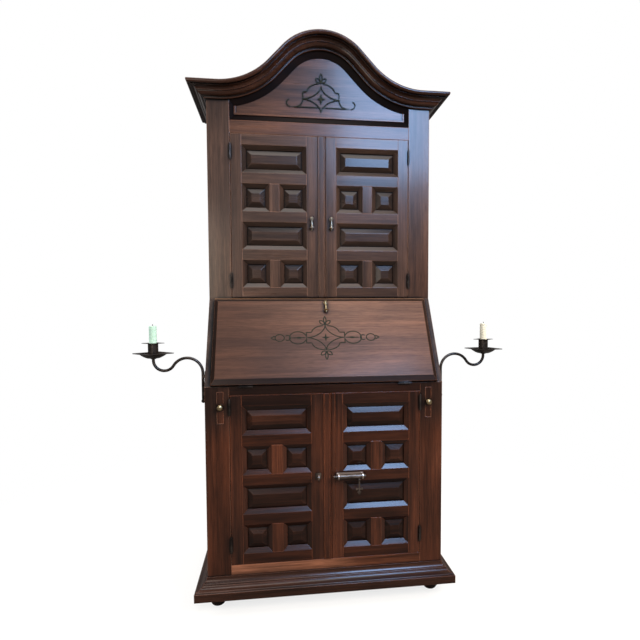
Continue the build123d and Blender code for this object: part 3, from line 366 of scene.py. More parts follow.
def wood(name, tone, grain_axis, look, stains=()):
    """Polished wood with its grain along one axis of the object.

    Growth bands are a noise stretched along the grain and slightly distorted. Pores are a much finer
    stretched noise, and thin streaks lie between the two. Large patches make the tone uneven. Faces that
    turn away from the front are darkened by the look's slope shade, which is painted shade. Inner corners
    are darkened as old wax and as painted shade, found by how much of the surroundings is covered within a
    short reach. Arrises are lightened as rubbed wear and as a painted highlight, found by how far a rounded
    normal leans away from the flat one. Each stain is a mask over the object's own coordinates and the
    colour that multiplies the wood under it; some stains are painted light, reflection or shade.
    """
    recipe = Recipe(name)
    place = recipe.make("ShaderNodeTexCoord").outputs["Object"]
    across = 1.0 / look.spacing
    bands = recipe.grain(place, grain_axis, across, 0.045 * across, Detail=7.0, Roughness=0.62, Distortion=0.35)
    pores = recipe.grain(place, grain_axis, 900.0, 26.0, Detail=3.0, Roughness=0.55)
    patches = recipe.grain(place, grain_axis, 9.0, 2.6, Detail=3.0, Roughness=0.55)
    streaks = recipe.grain(place, grain_axis, 6.5 * across, 0.16 * across, Detail=4.0, Roughness=0.60)
    contrast = look.contrast
    body = recipe.ramp(
        bands,
        [
            (0.28, scaled(tone, 1.0 - 0.62 * contrast)),
            (0.74, scaled(tone, 1.0 + 0.62 * contrast)),
            (0.43, scaled(tone, 1.0 - 0.24 * contrast)),
            (0.57, scaled(tone, 1.0 + 0.16 * contrast)),
        ],
    )
    speckle = recipe.ramp(pores, [(0.36, (0.45, 0.42, 0.40)), (0.52, (1.0, 1.0, 1.0))])
    colour = recipe.mix(0.7, body, speckle, "MULTIPLY")
    lines = recipe.ramp(
        streaks,
        [
            (0.34, scaled((1.0, 0.98, 0.96), 1.0 - look.streaking)),
            (0.66, scaled((1.0, 0.97, 0.92), 1.0 + look.streaking)),
        ],
    )
    colour = recipe.mix(1.0, colour, lines, "MULTIPLY")
    uneven = recipe.ramp(
        patches,
        [
            (0.32, scaled((0.92, 1.0, 1.10), 1.0 - look.patchiness)),
            (0.70, scaled((1.07, 0.98, 0.84), 1.0 + look.patchiness)),
        ],
    )
    colour = recipe.mix(1.0, colour, uneven, "MULTIPLY")
    # faces turned away from the front are darkened towards black: painted shade
    facing = recipe.make("ShaderNodeTexCoord").outputs["Normal"]
    facing = recipe.make("ShaderNodeSeparateXYZ", {0: facing}).outputs["Y"]
    turned_face_shade = recipe.make(
        "ShaderNodeMapRange",
        {"Value": facing, "From Min": -0.975, "From Max": -0.90, "To Min": 0.0, "To Max": 1.0 - look.slope_shade},
    )
    colour = recipe.mix(turned_face_shade.outputs[0], colour, (0.0, 0.0, 0.0, 1.0))
    for mask, stain in stains:
        colour = recipe.mix(mask(recipe, place), colour, opaque(stain), "MULTIPLY")
    # inner corners are darkened as old wax and as painted shade
    covered = recipe.make("ShaderNodeAmbientOcclusion", {"Distance": look.wax_and_shade_reach}, samples=8)
    shade = recipe.ramp(covered.outputs["AO"], [(look.wax_and_shade_full, OLD_WAX_AND_SHADE), (look.wax_and_shade_end, (1.0, 1.0, 1.0))])
    colour = recipe.mix(1.0, colour, shade, "MULTIPLY")
    # arrises are lightened as rubbed wear and as a painted highlight
    rounded = recipe.make("ShaderNodeBevel", {"Radius": ARRIS_REACH}, samples=6)
    flat = recipe.make("ShaderNodeNewGeometry").outputs["True Normal"]
    lean = recipe.make("ShaderNodeVectorMath", {0: rounded.outputs[0], 1: flat}, operation="DOT_PRODUCT")
    rub_and_highlight = recipe.make(
        "ShaderNodeMapRange",
        {"Value": lean.outputs["Value"], "From Min": 0.995, "From Max": 0.90, "To Min": 0.0, "To Max": look.rubbing_and_highlight},
    )
    open_edge = recipe.make(
        "ShaderNodeMapRange",
        {"Value": covered.outputs["AO"], "From Min": look.wax_and_shade_end - 0.1, "From Max": look.wax_and_shade_end + 0.02},
    )
    rub_and_highlight = recipe.make("ShaderNodeMath", {0: rub_and_highlight.outputs[0], 1: open_edge.outputs[0]}, operation="MULTIPLY")
    colour = recipe.mix(rub_and_highlight.outputs[0], colour, opaque(scaled(tone, ARRIS_WEAR_AND_HIGHLIGHT_TONE)))
    gloss = recipe.make(
        "ShaderNodeMapRange",
        {"Value": bands, "To Min": look.roughness + 0.07, "To Max": look.roughness - 0.05},
    )
    relief = recipe.make("ShaderNodeMath", {0: bands, 1: pores}, operation="ADD")
    bump = recipe.make(
        "ShaderNodeBump",
        {"Height": relief.outputs[0], "Strength": 0.10, "Distance": 0.0006, "Normal": rounded.outputs[0]},
    )
    shader = recipe.make(
        "ShaderNodeBsdfPrincipled",
        {
            "Base Color": colour,
            "Roughness": gloss.outputs[0],
            "Normal": bump.outputs[0],
            "Coat Weight": look.polish,
            "Coat Roughness": 0.16,
            "Coat Normal": rounded.outputs[0],
            "Specular IOR Level": look.specular,
        },
    )
    return recipe.finish(shader)


class Look:
    """How one wood is finished: its grain, its unevenness, its polish, its wax and wear, and the shade and highlights
    painted into its colour.
    """

    def __init__(self, spacing, polish, **changes):
        self.spacing = spacing
        self.polish = polish
        self.roughness = 0.28
        self.specular = 0.28
        self.contrast = 1.0
        self.patchiness = 0.28
        self.streaking = 0.30
        self.slope_shade = 1.0
        self.wax_and_shade_reach = 0.020
        self.wax_and_shade_full = 0.71
        self.wax_and_shade_end = 0.93
        self.rubbing_and_highlight = 0.62
        for key, value in changes.items():
            setattr(self, key, value)


def wrought_iron(name, tone, rim=None):
    """Waxed iron: hammer marks from a coarse noise, and brighter rubbed places.

    A rim is (y, z, radius) of a bar along x: iron farther from its axis than the radius is worn bright and painted
    with a highlight.
    """
    recipe = Recipe(name)
    place = recipe.make("ShaderNodeTexCoord").outputs["Object"]
    marks = recipe.make("ShaderNodeTexNoise", {"Vector": place, "Scale": 110.0, "Detail": 3.0})
    rubbed = recipe.make("ShaderNodeTexNoise", {"Vector": place, "Scale": 38.0, "Detail": 4.0})
    colour = recipe.ramp(rubbed.outputs["Fac"], [(0.35, scaled(tone, 0.6)), (0.70, scaled(tone, 2.6))])
    # iron past the rim is painted bright: wear and a painted highlight
    if rim:
        level = recipe.make("ShaderNodeVectorMath", {0: place, 1: (0.0, 1.0, 1.0)}, operation="MULTIPLY")
        away = recipe.make(
            "ShaderNodeVectorMath", {0: level.outputs[0], 1: (0.0, rim[0], rim[1])}, operation="DISTANCE"
        )
        outer = recipe.make(
            "ShaderNodeMapRange", {"Value": away.outputs["Value"], "From Min": rim[2], "From Max": rim[2] + 0.0008}
        )
        colour = recipe.mix(outer.outputs[0], colour, opaque(BRIGHT_IRON_AND_HIGHLIGHT))
    gloss = recipe.make("ShaderNodeMapRange", {"Value": marks.outputs["Fac"], "To Min": 0.48, "To Max": 0.24})
    bump = recipe.make(
        "ShaderNodeBump", {"Height": marks.outputs["Fac"], "Strength": 0.25, "Distance": 0.0010}
    )
    shader = recipe.make(
        "ShaderNodeBsdfPrincipled",
        {"Base Color": colour, "Metallic": 0.85, "Roughness": gloss.outputs[0], "Normal": bump.outputs[0]},
    )
    return recipe.finish(shader)


def worn_brass(name, tone):
    """Brass with darker tarnish in patches."""
    recipe = Recipe(name)
    place = recipe.make("ShaderNodeTexCoord").outputs["Object"]
    tarnish = recipe.make("ShaderNodeTexNoise", {"Vector": place, "Scale": 160.0, "Detail": 4.0})
    colour = recipe.ramp(tarnish.outputs["Fac"], [(0.32, scaled(tone, 0.55)), (0.60, tone)])
    gloss = recipe.make("ShaderNodeMapRange", {"Value": tarnish.outputs["Fac"], "To Min": 0.42, "To Max": 0.22})
    shader = recipe.make(
        "ShaderNodeBsdfPrincipled", {"Base Color": colour, "Metallic": 1.0, "Roughness": gloss.outputs[0]}
    )
    return recipe.finish(shader)


def wax(name, tone, wick_foot):
    """Candle wax, and a charred wick where the point is above the wax."""
    recipe = Recipe(name)
    place = recipe.make("ShaderNodeTexCoord").outputs["Object"]
    height = recipe.make("ShaderNodeSeparateXYZ", {0: place}).outputs["Z"]
    cloud = recipe.make("ShaderNodeTexNoise", {"Vector": place, "Scale": 30.0, "Detail": 1.0})
    body = recipe.ramp(cloud.outputs["Fac"], [(0.3, scaled(tone, 0.94)), (0.7, scaled(tone, 1.04))])
    on_wick = recipe.make("ShaderNodeMath", {0: height, 1: wick_foot + 0.0004}, operation="GREATER_THAN")
    colour = recipe.mix(on_wick.outputs[0], body, opaque(CHARRED))
    shader = recipe.make(
        "ShaderNodeBsdfPrincipled",
        {
            "Base Color": colour,
            "Roughness": 0.42,
            "Subsurface Weight": 0.08,
            "Subsurface Radius": (0.006, 0.005, 0.004),
            "Subsurface Scale": 0.4,
        },
    )
    return recipe.finish(shader)


def paint_line(tone):
    """Matt paint that has thinned a little in places."""
    recipe = Recipe("strapwork_paint")
    place = recipe.make("ShaderNodeTexCoord").outputs["Object"]
    worn = recipe.make("ShaderNodeTexNoise", {"Vector": place, "Scale": 240.0, "Detail": 3.0})
    colour = recipe.ramp(worn.outputs["Fac"], [(0.35, scaled(tone, 0.8)), (0.75, scaled(tone, 1.9))])
    shader = recipe.make(
        "ShaderNodeBsdfPrincipled", {"Base Color": colour, "Roughness": 0.7, "Specular IOR Level": 0.12}
    )
    return recipe.finish(shader)


def dress(node, material):
    """Gives a carried-over node one material."""
    piece = nodes[node]
    piece.data.materials.clear()
    piece.data.materials.append(material)


# ---------------------------------------------------------------- new surfaces
def grid_faces(rows, columns, closed_u=False, closed_v=False):
    """The four corners of each face of a grid of points; a closed direction joins its ends."""
    index = np.arange(rows * columns).reshape(rows, columns)
    if closed_u:
        index = np.vstack([index, index[:1]])
    if closed_v:
        index = np.hstack([index, index[:, :1]])
    return np.stack([index[:-1, :-1], index[1:, :-1], index[1:, 1:], index[:-1, 1:]], axis=-1).reshape(-1, 4)


def grid_mesh(name, points):
    """A flat-shaded mesh over a grid of points with shape (rows, columns, 3)."""
    mesh = bpy.data.meshes.new(name)
    mesh.from_pydata(points.reshape(-1, 3), [], grid_faces(*points.shape[:2]))
    return mesh


def joined(name, grids):
    """One smooth mesh from several grids of points, each a tuple (points, closed_u, closed_v)."""
    vertices, faces, offset = [], [], 0
    for points, closed_u, closed_v in grids:
        rows, columns = points.shape[:2]
        vertices.append(points.reshape(-1, 3))
        faces.append(grid_faces(rows, columns, closed_u, closed_v) + offset)
        offset += rows * columns
    mesh = bpy.data.meshes.new(name)
    mesh.from_pydata(np.vstack(vertices), [], np.vstack(faces))
    mesh.polygons.foreach_set("use_smooth", np.ones(len(mesh.polygons), bool))
    mesh.update()
    return mesh


def piece_from(name, grids, material, body):
    """Adds a finished piece from grids of points, riding on a body."""
    piece = bpy.data.objects.new(name, joined(name, grids))
    bpy.context.scene.collection.objects.link(piece)
    piece.data.materials.append(material)
    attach(piece, body)


def stroke(path, width, height, place, closed=False):
    """A painted line: a flat dome carried along a flat path, with the path's own ends drawn to a point.

    Across the line the surface is height times the root of (1 minus the square of the distance from the
    middle over half the width). The path's direction is the difference of neighbouring points, and
    place() turns flat (x, y, lift) into the object's space.
    """
    path = np.asarray(path, float)
    if closed:
        ahead = np.roll(path, -1, axis=0) - np.roll(path, 1, axis=0)
    else:
        ahead = np.gradient(path, axis=0)
    ahead /= np.linalg.norm(ahead, axis=1, keepdims=True) + 1e-12
    sideways = np.stack([-ahead[:, 1], ahead[:, 0]], axis=1)
    angle = np.linspace(np.pi, 0.0, 7)
    taper = np.ones(len(path))
    if not closed:
        steps = np.arange(len(path))
        taper = np.clip(np.minimum(steps, steps[::-1]) / 1.5 + 0.05, 0.0, 1.0)
    across = np.cos(angle)[None, :] * (width / 2) * taper[:, None]
    lift = np.sin(angle)[None, :] * height * np.ones_like(taper)[:, None]
    flat = path[:, None, :] + sideways[:, None, :] * across[:, :, None]
    return place(flat[..., 0], flat[..., 1], lift), closed, False


def blob(outline, height, place):
    """A filled painted shape: rings shrink from the outline to its middle and rise to a low dome."""
    outline = np.asarray(outline, float)
    middle = outline.mean(axis=0)
    share = np.linspace(1.0, 0.0, 6)
    flat = middle + (outline[None, :, :] - middle) * share[:, None, None]
    lift = height * np.sqrt(np.clip(1.0 - share**2, 0.0, 1.0))[:, None] * np.ones(len(outline))[None, :]
    return place(flat[..., 0], flat[..., 1], lift), False, True


def arc(centre, radii, start, end, count=24):
    """Points of an ellipse about a centre, between two angles in degrees."""
    angle = np.radians(np.linspace(start, end, count))
    return np.stack([centre[0] + radii[0] * np.cos(angle), centre[1] + radii[1] * np.sin(angle)], axis=1)


def ring(centre, radii, count=40):
    """Points of a whole ellipse, without the last point that would repeat the first."""
    return arc(centre, radii, 0.0, 360.0, count + 1)[:-1]


def run(*corners, count=10):
    """Points along straight runs between corners."""
    parts = [
        np.linspace(first, last, count, endpoint=False) for first, last in zip(corners[:-1], corners[1:])
    ]
    return np.vstack([*parts, [corners[-1]]])


def leaf(tip, foot, width, count=20):
    """A pointed leaf outline between two points: its half width is a sine of the way along."""
    tip, foot = np.asarray(tip, float), np.asarray(foot, float)
    way = np.linspace(0.0, 1.0, count)[:, None]
    spine = foot + (tip - foot) * way
    ahead = (tip - foot) / np.linalg.norm(tip - foot)
    sideways = np.array([-ahead[1], ahead[0]])
    bulge = np.sin(np.pi * way) ** 0.8 * width / 2
    return np.vstack([spine + sideways * bulge, (spine - sideways * bulge)[-2:0:-1]])


def concave_star(half_width, half_height):
    """Four-pointed star with hollow sides: |x / w| ** p + |y / h| ** p = 1 with p = STAR_POWER."""
    angle = np.radians(np.linspace(0.0, 360.0, 97)[:-1])
    power = 2.0 / STAR_POWER
    cosine, sine = np.cos(angle), np.sin(angle)
    return np.stack(
        [half_width * np.sign(cosine) * np.abs(cosine) ** power, half_height * np.sign(sine) * np.abs(sine) ** power],
        axis=1,
    )


def flipped(path, x=1.0, y=1.0):
    """A path mirrored about the ornament's axes."""
    return np.asarray(path, float) * np.array([x, y])


def fleur(foot, way, paint):
    """Three leaves, the outer two turned out, over two short curves that meet at the foot."""
    yield paint(leaf((0.0, foot + way * 0.036), (0.0, foot + way * 0.008), 0.0095), True)
    for side in (-1, 1):
        yield paint(leaf((side * 0.0200, foot + way * 0.0185), (side * 0.002, foot + way * 0.004), 0.0125), True)
        yield paint(arc((side * 0.0085, foot), (0.0085, 0.0045), 90.0, 90.0 + side * 90.0, 12), False)


class BuildStrapwork(Operator):
    """Paint the strapwork on the lid and on the pediment"""

    bl_idname = "cabinet.strapwork"
    bl_label = "Strapwork"

    def execute(self, context):
        settings = context.scene.cabinet_ornament
        material = paint_line(settings.line_tone)
        width, height = settings.line_width, settings.line_height

        foot, along, normal = lid_plane()
        centre = foot + along * LID_STAR[1] + np.array([LID_STAR[0], 0.0, 0.0])
        right = np.array([1.0, 0.0, 0.0])

        def on_lid(x, y, lift):
            """Flat coordinates on the lid's outer face: x to the right, y up the slope."""
            return centre + x[..., None] * right + y[..., None] * along + (lift - PAINT_SUNK)[..., None] * normal

        def paint(path, closed=False):
            return stroke(path, width, height, on_lid, closed)

        grids = [paint(concave_star(0.067, 0.049), True)]
        for up in (-1, 1):
            for side in (-1, 1):
                frame_side = run((side * 0.070, 0.0), (side * 0.070, up * 0.021), (side * 0.050, up * 0.021))
                shoulder = arc((0.0, 0.0), (0.050, 0.028), 0.0, 84.0)
                grids.append(paint(frame_side))
                grids.append(paint(flipped(shoulder, side, up) + (0.0, up * 0.021)))
            grids.extend(fleur(up * 0.0500, up, paint))
        grids.append(blob(leaf((0.0, 0.017), (0.0, -0.017), 0.0075), height, on_lid))
        grids.append(blob(leaf((0.0155, 0.0), (-0.0155, 0.0), 0.0075), height, on_lid))
        for side in (-1, 1):
            grids.append(paint(flipped(arc((0.101, 0.0), (0.0305, 0.0245), -165.0, 165.0, 44), side)))
            grids.append(paint(flipped(run((0.070, 0.0), (0.128, 0.0)), side)))
            grids.append(blob(flipped(leaf((0.112, 0.0), (0.082, 0.0), 0.0085), side), height, on_lid))
            grids.append(paint(flipped(arc((0.138, 0.0), (0.0100, 0.0100), 320.0, 40.0, 26), side)))
            grids.append(paint(flipped(ring((0.1665, 0.0), (0.0165, 0.0135)), side), True))
            grids.append(paint(flipped(run((0.183, 0.0085), (0.198, 0.0), (0.183, -0.0085)), side)))
        piece_from("lid_strapwork", grids, material, "lid")

        board_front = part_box("tympanum_board")[0].y
        middle = np.array([PEDIMENT_STAR[0], board_front, PEDIMENT_STAR[1]])

        def on_board(x, y, lift):
            """Flat coordinates on the pediment board: x to the right, y up."""
            return middle + np.stack([x, -(lift - PAINT_SUNK), y], axis=-1)

        def mark(path, closed=False):
            return stroke(path, width * PEDIMENT_LINE, height, on_board, closed)

        grids = [mark(concave_star(0.0705, 0.048), True)]
        for side in (-1, 1):
            grids.append(mark(run((side * 0.0685, 0.002), (side * 0.0685, 0.025), (side * 0.052, 0.027))))
            shoulder = arc((0.0, 0.0), (0.052, 0.031), 0.0, 84.0)
            grids.append(mark(flipped(shoulder, side) + (0.0, 0.027)))
            grids.append(mark(flipped(arc((0.098, 0.0), (0.0295, 0.030), 180.0, 262.0), side)))
            grids.append(mark(flipped(arc((0.112, -0.0165), (0.018, 0.0145), -90.0, 70.0, 24), side)))
            grids.append(mark(run((0.0, -0.0305), (side * 0.113, -0.031))))
        grids.extend(fleur(0.0580, 1, mark))
        grids.append(blob(leaf((0.0, 0.021), (0.0, -0.019), 0.0085), height, on_board))
        grids.append(blob(leaf((0.015, 0.001), (-0.015, 0.001), 0.0070), height, on_board))
        piece_from("pediment_strapwork", grids, material, "case")
        return {"FINISHED"}


class FinishWood(Operator):
    """Finish every wooden piece, with the grain along its length"""

    bl_idname = "cabinet.wood"
    bl_label = "Woods"

    def execute(self, context):
        settings = context.scene.cabinet_wood
        polish, spacing = settings.polish, settings.ring_spacing

        def finish(name, tone, axis, stains=(), shine=polish, **changes):
            return wood(name, tuple(tone), axis, Look(spacing, shine, **changes), stains)

        # the slope setting darkens faces turned away from the front as painted shade; the wax settings darken corners
        # as wax and as painted shade
        quiet = {"contrast": 1.05, "patchiness": 0.52, "slope_shade": 0.55, "streaking": 0.42}
        lively = {"contrast": 1.2, "patchiness": 0.62, "slope_shade": 0.70, "streaking": 0.45, "wax_and_shade_full": 0.60}
        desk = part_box("desk_board")[0].z
        # painted sheen: a cool grey tint at the top of the lower case
        painted_sheen_band = (above(desk - 0.16, desk - 0.02), (0.48, 0.62, 0.85))
        upper, lower = tuple(settings.upper_tone), tuple(settings.lower_tone)
        # the desk sides' grey tone is painted sheen; below the desk it turns towards the redder wood of the lower case
        desk_side = finish(
            "desk_side_walnut", (0.058, 0.037, 0.029), Z_AXIS, [(above(desk, desk - 0.55), (1.2, 0.62, 0.42))], 0.0,
            roughness=0.48, specular=0.2, contrast=1.2,
        )
        upright = {
            "upper": finish("upper_walnut_upright", upper, Z_AXIS, **quiet),
            "lower": finish("lower_walnut_upright", scaled(lower, 1.50), Z_AXIS, [painted_sheen_band], 0.5, **lively),
        }
        level = {
            "upper": finish("upper_walnut_level", upper, X_AXIS, **quiet),
            "lower": finish("lower_walnut_level", tinted(lower, (0.92, 0.90, 0.90)), X_AXIS, [painted_sheen_band], 0.32, **lively),
        }
        field = {
            "upper": finish("upper_walnut_panel", scaled(upper, 0.60), X_AXIS, **quiet),
            "lower": finish("lower_walnut_panel", tinted(lower, (0.72, 0.84, 1.00)), X_AXIS, (), 0.22, **lively),
        }
        redder = finish("pediment_walnut", tinted(upper, (1.00, 0.83, 0.73)), X_AXIS, **quiet)
        # mouldings: corners darkened more deeply as wax and painted shade, arrises lightened as wear and as a painted
        # highlight
        deep_wax_and_shade = {
            "wax_and_shade_reach": 0.012, "wax_and_shade_full": 0.62, "wax_and_shade_end": 0.97,
            "roughness": 0.22, "rubbing_and_highlight": 0.80, "streaking": 0.40,
        }
        dark_level = finish("moulding_walnut_level", settings.moulding_tone, X_AXIS, **deep_wax_and_shade)
        dark_deep = finish("moulding_walnut_deep", settings.moulding_tone, Y_AXIS, **deep_wax_and_shade)
        # the pediment frame is near black and without coat: painted shade in its recess
        shade_black_moulding = finish(
            "painted_shade_moulding", scaled(settings.moulding_tone, 0.12), X_AXIS, (), 0.0, roughness=0.5, specular=0.12
        )
        bare = {"roughness": 0.62, "rubbing_and_highlight": 0.15, "wax_and_shade_end": 0.7, "wax_and_shade_full": 0.1}
        plain_level = finish("inner_board_level", settings.inner_tone, X_AXIS, shine=0.0, **bare)
        plain_upright = finish("inner_board_upright", settings.inner_tone, Z_AXIS, shine=0.0, **bare)
        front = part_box("face_stiles")[0].y
        lid_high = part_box("lid")[1]
        faded_lid_and_painted_light = finish(
            "lid_walnut", settings.lid_tone, X_AXIS,
            [
                # painted shade on the lid's moulded edge
                (lid_edge_shade, (0.17, 0.15, 0.14)),
                # painted light and reflection on the lid's upper right
                (painted_light_patch((0.22, lid_high.y, lid_high.z), 0.60), (2.15, 2.45, 2.60)),
            ],
            0.10, contrast=0.62, patchiness=0.34, specular=0.20, roughness=0.42, streaking=0.30,
        )
        stiles = finish(
            "face_stile_walnut", upper, Z_AXIS,
            [
                (below_desk, [1.45 * low / high for low, high in zip(lower, upper)]),
                # painted sheen: a cool grey tint just under the desk
                (above(desk - 0.2, desk - 0.06), (0.42, 0.62, 0.90)),
                (above(desk + 0.018, desk + 0.019), (2.38, 1.61, 1.11)),
                # patches of painted light and reflection, and of painted shade where the multiplier is below 1
                (painted_light_patch((-0.50, front, 1.20), 0.30), (1.9, 2.2, 1.9)),
                (painted_light_patch((-0.50, front, 1.60), 0.30), (1.35, 1.35, 1.40)),
                (painted_light_patch((0.52, front, 1.15), 0.35), (0.80, 0.60, 0.52)),
                (painted_light_patch((0.52, front, 0.50), 0.16), (2.4, 2.6, 2.8)),
                (painted_light_patch((-0.52, front, 0.22), 0.18), (1.8, 1.8, 1.8)),
            ],
            **quiet,
        )
        low_rails = finish(
            "lower_rail_walnut", lower, X_AXIS,
            [
                painted_sheen_band,
                # patches of painted light and reflection on the lower rail
                (painted_light_patch((-0.25, front, 0.13), 0.40), (7.4, 9.8, 11.5)),
                (painted_light_patch((0.20, front, 0.13), 0.30), (2.8, 3.0, 3.0)),
            ],
            **lively,
        )

        for height in LEVELS:
            for side in SIDES:
                dress(f"{height}_{side}_door_uprights", upright[height])
                dress(f"{height}_{side}_door_rails", level[height])
                dress(f"{height}_{side}_door_panels", field[height])
        for node, material in {
            "upper_sides": upright["upper"],
            "face_stiles": stiles,
            "head_rail": redder,
            "tympanum_board": redder,
            "desk_sides": desk_side,
            "lower_rails": low_rails,
            "left_loper": upright["lower"],
            "right_loper": upright["lower"],
            "tympanum_frame": shade_black_moulding,
            "cornice_front": dark_level,
            "cornice_returns": dark_deep,
            "base_front": dark_level,
            "base_returns": dark_deep,
            "bun_feet": dark_level,
            "lid": faded_lid_and_painted_light,
            "plinth_board": plain_level,
            "desk_board": level["lower"],
            "top_boards": plain_level,
            "shelves": plain_level,
            "loper_channels": plain_level,
            "gallery": plain_level,
            "left_gallery_drawer": plain_level,
            "right_gallery_drawer": plain_level,
            "back_boards": plain_upright,
        }.items():
            dress(node, material)
        return {"FINISHED"}


class FinishHardware(Operator):
    """Finish the iron, the brass and the candles"""

    bl_idname = "cabinet.hardware"
    bl_label = "Ironwork, brass and candles"

    def execute(self, context):
        settings = context.scene.cabinet_metal
        iron = wrought_iron("wrought_iron", tuple(settings.iron_tone))
        handled_iron = wrought_iron("handled_iron", tuple(settings.bolt_tone))
        low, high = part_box("bolt_barrel")
        collar = (high.z - low.z) / 2
        # the collars' bright rims: wear and a painted highlight
        rim = (low.y + collar, low.z + collar, RIM_START * collar)
        collared_iron = wrought_iron("collared_iron", tuple(settings.bolt_tone), rim)
        brass = worn_brass("worn_brass", tuple(settings.brass_tone))
        iron_nodes = [
            "fixed_hinge_leaves", "hinge_pins", "lid_hinge_leaves", "candle_arms", "drip_pans", "candle_sockets",
        ]
        iron_nodes += [f"{height}_{side}_door_hinge_leaves" for height in LEVELS for side in SIDES]
        for node in iron_nodes:
            dress(node, iron)
        for node in ("bolt_rod", "bolt_drop", "bolt_keeper"):
            dress(node, handled_iron)
        dress("bolt_barrel", collared_iron)
        pale_brass = worn_brass("pale_brass", tuple(settings.pull_tone))
        for node in ("left_loper_knob", "right_loper_knob", "lid_pull_post", "lid_pull_drop"):
            dress(node, brass)
        for side in SIDES:
            dress(f"upper_{side}_pull_post", pale_brass)
            dress(f"upper_{side}_pull_drop", pale_brass)
        for side, tone in (("left", settings.left_wax), ("right", settings.right_wax)):
            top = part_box(f"{side}_candle")[1].z
            dress(f"{side}_candle", wax(f"{side}_wax", tuple(tone), top - WICK_LENGTH))
        return {"FINISHED"}


# ---------------------------------------------------------------- stage
def soft_lamp(name, place, target, size, power, tone):
    """A rectangular area lamp that faces a target."""
    light = bpy.data.lights.new(name, "AREA")
    light.shape = "RECTANGLE"
    light.size, light.size_y = size
    light.energy = power
    light.color = tone
    lamp = bpy.data.objects.new(name, light)
    lamp.location = place
    lamp.rotation_euler = (Vector(target) - Vector(place)).to_track_quat("-Z", "Y").to_euler()
    bpy.context.scene.collection.objects.link(lamp)
    return lamp


class BuildStage(Operator):
    """Build the floor, the lamps, the even room light and the camera"""

    bl_idname = "cabinet.stage"
    bl_label = "Stage"

    def execute(self, context):
        scene = context.scene
        settings = scene.cabinet_stage
        recipe = Recipe("pale_floor")
        bright = recipe.make("ShaderNodeEmission", {"Color": (1.0, 1.0, 1.0, 1.0), "Strength": 1.0})
        rays = recipe.make("ShaderNodeLightPath")
        seen = rays.outputs["Is Camera Ray"]
        dim = recipe.mix(
            rays.outputs["Is Glossy Ray"], opaque(scaled(settings.floor_tone, FLOOR_IN_DIFFUSE)),
            opaque(scaled(settings.floor_tone, FLOOR_IN_GLOSS)),
        )
        tone = recipe.mix(seen, dim, opaque(settings.floor_tone))
        shaded = recipe.make("ShaderNodeBsdfDiffuse", {"Color": tone})
        place = recipe.make("ShaderNodeTexCoord").outputs["Object"]
        away = recipe.make("ShaderNodeVectorMath", {0: place}, operation="LENGTH").outputs["Value"]
        fade = recipe.make(
            "ShaderNodeMapRange",
            {"Value": away, "From Min": 0.7, "From Max": 1.9, "To Min": 0.78, "To Max": 1.0},
            interpolation_type="SMOOTHSTEP",
        )
        share = recipe.make("ShaderNodeMath", {0: seen, 1: fade.outputs[0]}, operation="MULTIPLY")
        blend = recipe.make("ShaderNodeMixShader", {0: share.outputs[0], 1: shaded.outputs[0], 2: bright.outputs[0]})
        material = recipe.finish(blend)

        reach = np.linspace(-FLOOR_REACH, FLOOR_REACH, 19)
        across, deep = np.meshgrid(reach, reach, indexing="ij")
        points = np.stack([across, deep, np.zeros_like(across)], axis=-1)
        floor = bpy.data.objects.new("floor", grid_mesh("floor", points[:, ::-1]))
        scene.collection.objects.link(floor)
        floor.data.materials.append(material)

        side_tone = (1.0, 0.96, 0.91)
        for name, place, target, size, power, tone, hidden_from in (
            ("window_lamp", (0.88, -2.6, 2.85), (0.0, 0.0, 1.2), (0.95, 1.2), settings.window_power,
             (0.34, 0.58, 1.0), "visible_diffuse"),
            ("left_sheen_lamp", (-1.0, -2.6, 1.45), (0.0, 0.0, 1.3), (0.7, 1.0), settings.sheen_power,
             (1.0, 0.90, 0.78), "visible_diffuse"),
            ("right_lamp", (2.2, -2.2, 2.5), (0.0, 0.0, 1.1), (1.4, 1.4), settings.right_power,
             (1.0, 0.92, 0.82), "visible_glossy"),
            ("fill_lamp", (-0.6, -3.0, 2.5), (0.0, 0.0, 1.0), (2.4, 2.0), settings.fill_power,
             (1.0, 0.93, 0.84), "visible_glossy"),
            ("left_side_lamp", (-3.2, 0.6, 2.0), (0.0, 0.1, 1.0), (2.4, 2.0), settings.side_power,
             side_tone, "visible_glossy"),
            ("right_side_lamp", (3.2, 0.6, 2.0), (0.0, 0.1, 1.0), (2.4, 2.0), settings.side_power,
             side_tone, "visible_glossy"),
            ("back_lamp", (0.0, 3.4, 2.2), (0.0, 0.1, 1.0), (2.4, 2.0), settings.side_power,
             side_tone, "visible_glossy"),
        ):
            lamp = soft_lamp(name, place, target, size, power, tone)
            setattr(lamp, hidden_from, False)
        soft_lamp("top_lamp", (-0.3, -0.9, 3.8), (0.0, -0.15, 0.9), (2.6, 1.3), settings.top_power, (1.0, 0.95, 0.90))

        world = bpy.data.worlds.new("room")
        scene.world = world
        world.use_nodes = True
        tree = world.node_tree
        tree.nodes.clear()
        output = tree.nodes.new("ShaderNodeOutputWorld")
        path = tree.nodes.new("ShaderNodeLightPath")
        last = None
        for ray, tone, strength in (
            (None, (0.94, 0.97, 1.0, 1.0), settings.room_light),
            ("Is Glossy Ray", (1.0, 0.98, 0.96, 1.0), settings.room_gloss),
            ("Is Transmission Ray", (1.0, 1.0, 1.0, 1.0), 1.0),
            ("Is Camera Ray", (1.0, 1.0, 1.0, 1.0), 1.0),
        ):
            light = tree.nodes.new("ShaderNodeBackground")
            light.inputs["Color"].default_value = tone
            light.inputs["Strength"].default_value = strength
            if last is None:
                last = light
                continue
            chooser = tree.nodes.new("ShaderNodeMixShader")
            tree.links.new(path.outputs[ray], chooser.inputs[0])
            tree.links.new(last.outputs[0], chooser.inputs[1])
            tree.links.new(light.outputs[0], chooser.inputs[2])
            last = chooser
        tree.links.new(last.outputs[0], output.inputs["Surface"])

        scene.view_settings.view_transform = "Standard"
        scene.camera = standing_camera()
        return {"FINISHED"}


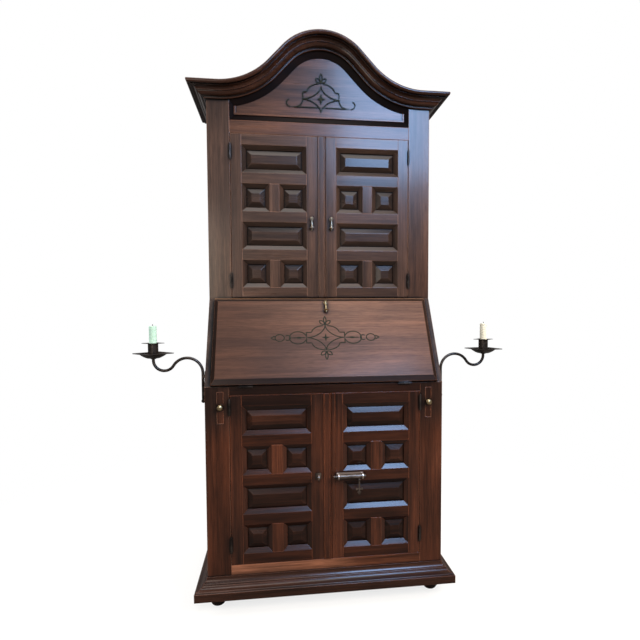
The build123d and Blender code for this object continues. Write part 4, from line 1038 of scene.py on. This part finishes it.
def standing_camera():
    """A wide camera at the height of the lid, a little left of the middle and turned slightly right."""
    yaw, pitch, roll = np.radians((7.25, -2.893, -0.234))
    ahead = np.array([np.sin(yaw) * np.cos(pitch), np.cos(yaw) * np.cos(pitch), np.sin(pitch)])
    level_right = np.array([np.cos(yaw), -np.sin(yaw), 0.0])
    level_up = np.cross(level_right, ahead)
    right = np.cos(roll) * level_right + np.sin(roll) * level_up
    up = np.cross(right, ahead)
    data = bpy.data.cameras.new("standing_camera")
    data.sensor_width = 36.0
    data.lens = 26.72
    data.shift_x = -0.0267
    data.shift_y = 0.0221
    camera = bpy.data.objects.new("standing_camera", data)
    turn = Matrix(np.stack([right, up, -ahead], axis=1).tolist()).to_4x4()
    camera.matrix_world = Matrix.Translation((-0.1734, -1.8706, 1.04135)) @ turn
    bpy.context.scene.collection.objects.link(camera)
    return camera


class CabinetPanel(Panel):
    """Lists the cabinet's operators and settings"""

    bl_idname = "VIEW3D_PT_cabinet"
    bl_label = "Writing cabinet"
    bl_space_type = "VIEW_3D"
    bl_region_type = "UI"
    bl_category = "Cabinet"

    def draw(self, context):
        for name in ("cabinet_wood", "cabinet_metal", "cabinet_ornament", "cabinet_stage"):
            settings = getattr(context.scene, name)
            column = self.layout.column()
            for key in settings.bl_rna.properties.keys():
                if key not in ("rna_type", "name"):
                    column.prop(settings, key)
        for operator in OPERATORS:
            self.layout.operator(operator.bl_idname)


OPERATORS = (FinishWood, FinishHardware, BuildStrapwork, BuildStage)
SETTINGS = {
    "cabinet_wood": WoodSettings,
    "cabinet_metal": MetalSettings,
    "cabinet_ornament": OrnamentSettings,
    "cabinet_stage": StageSettings,
}


def register():
    """Registers the settings, the operators and the panel."""
    for name, group in SETTINGS.items():
        bpy.utils.register_class(group)
        setattr(bpy.types.Scene, name, bpy.props.PointerProperty(type=group))
    for operator in OPERATORS:
        bpy.utils.register_class(operator)
    bpy.utils.register_class(CabinetPanel)


def unregister():
    """Removes what register added."""
    bpy.utils.unregister_class(CabinetPanel)
    for operator in reversed(OPERATORS):
        bpy.utils.unregister_class(operator)
    for name, group in reversed(SETTINGS.items()):
        delattr(bpy.types.Scene, name)
        bpy.utils.unregister_class(group)


def main():
    """Builds everything in order."""
    register()
    bpy.ops.cabinet.wood()
    bpy.ops.cabinet.hardware()
    bpy.ops.cabinet.strapwork()
    bpy.ops.cabinet.stage()


if __name__ == "__main__":
    main()
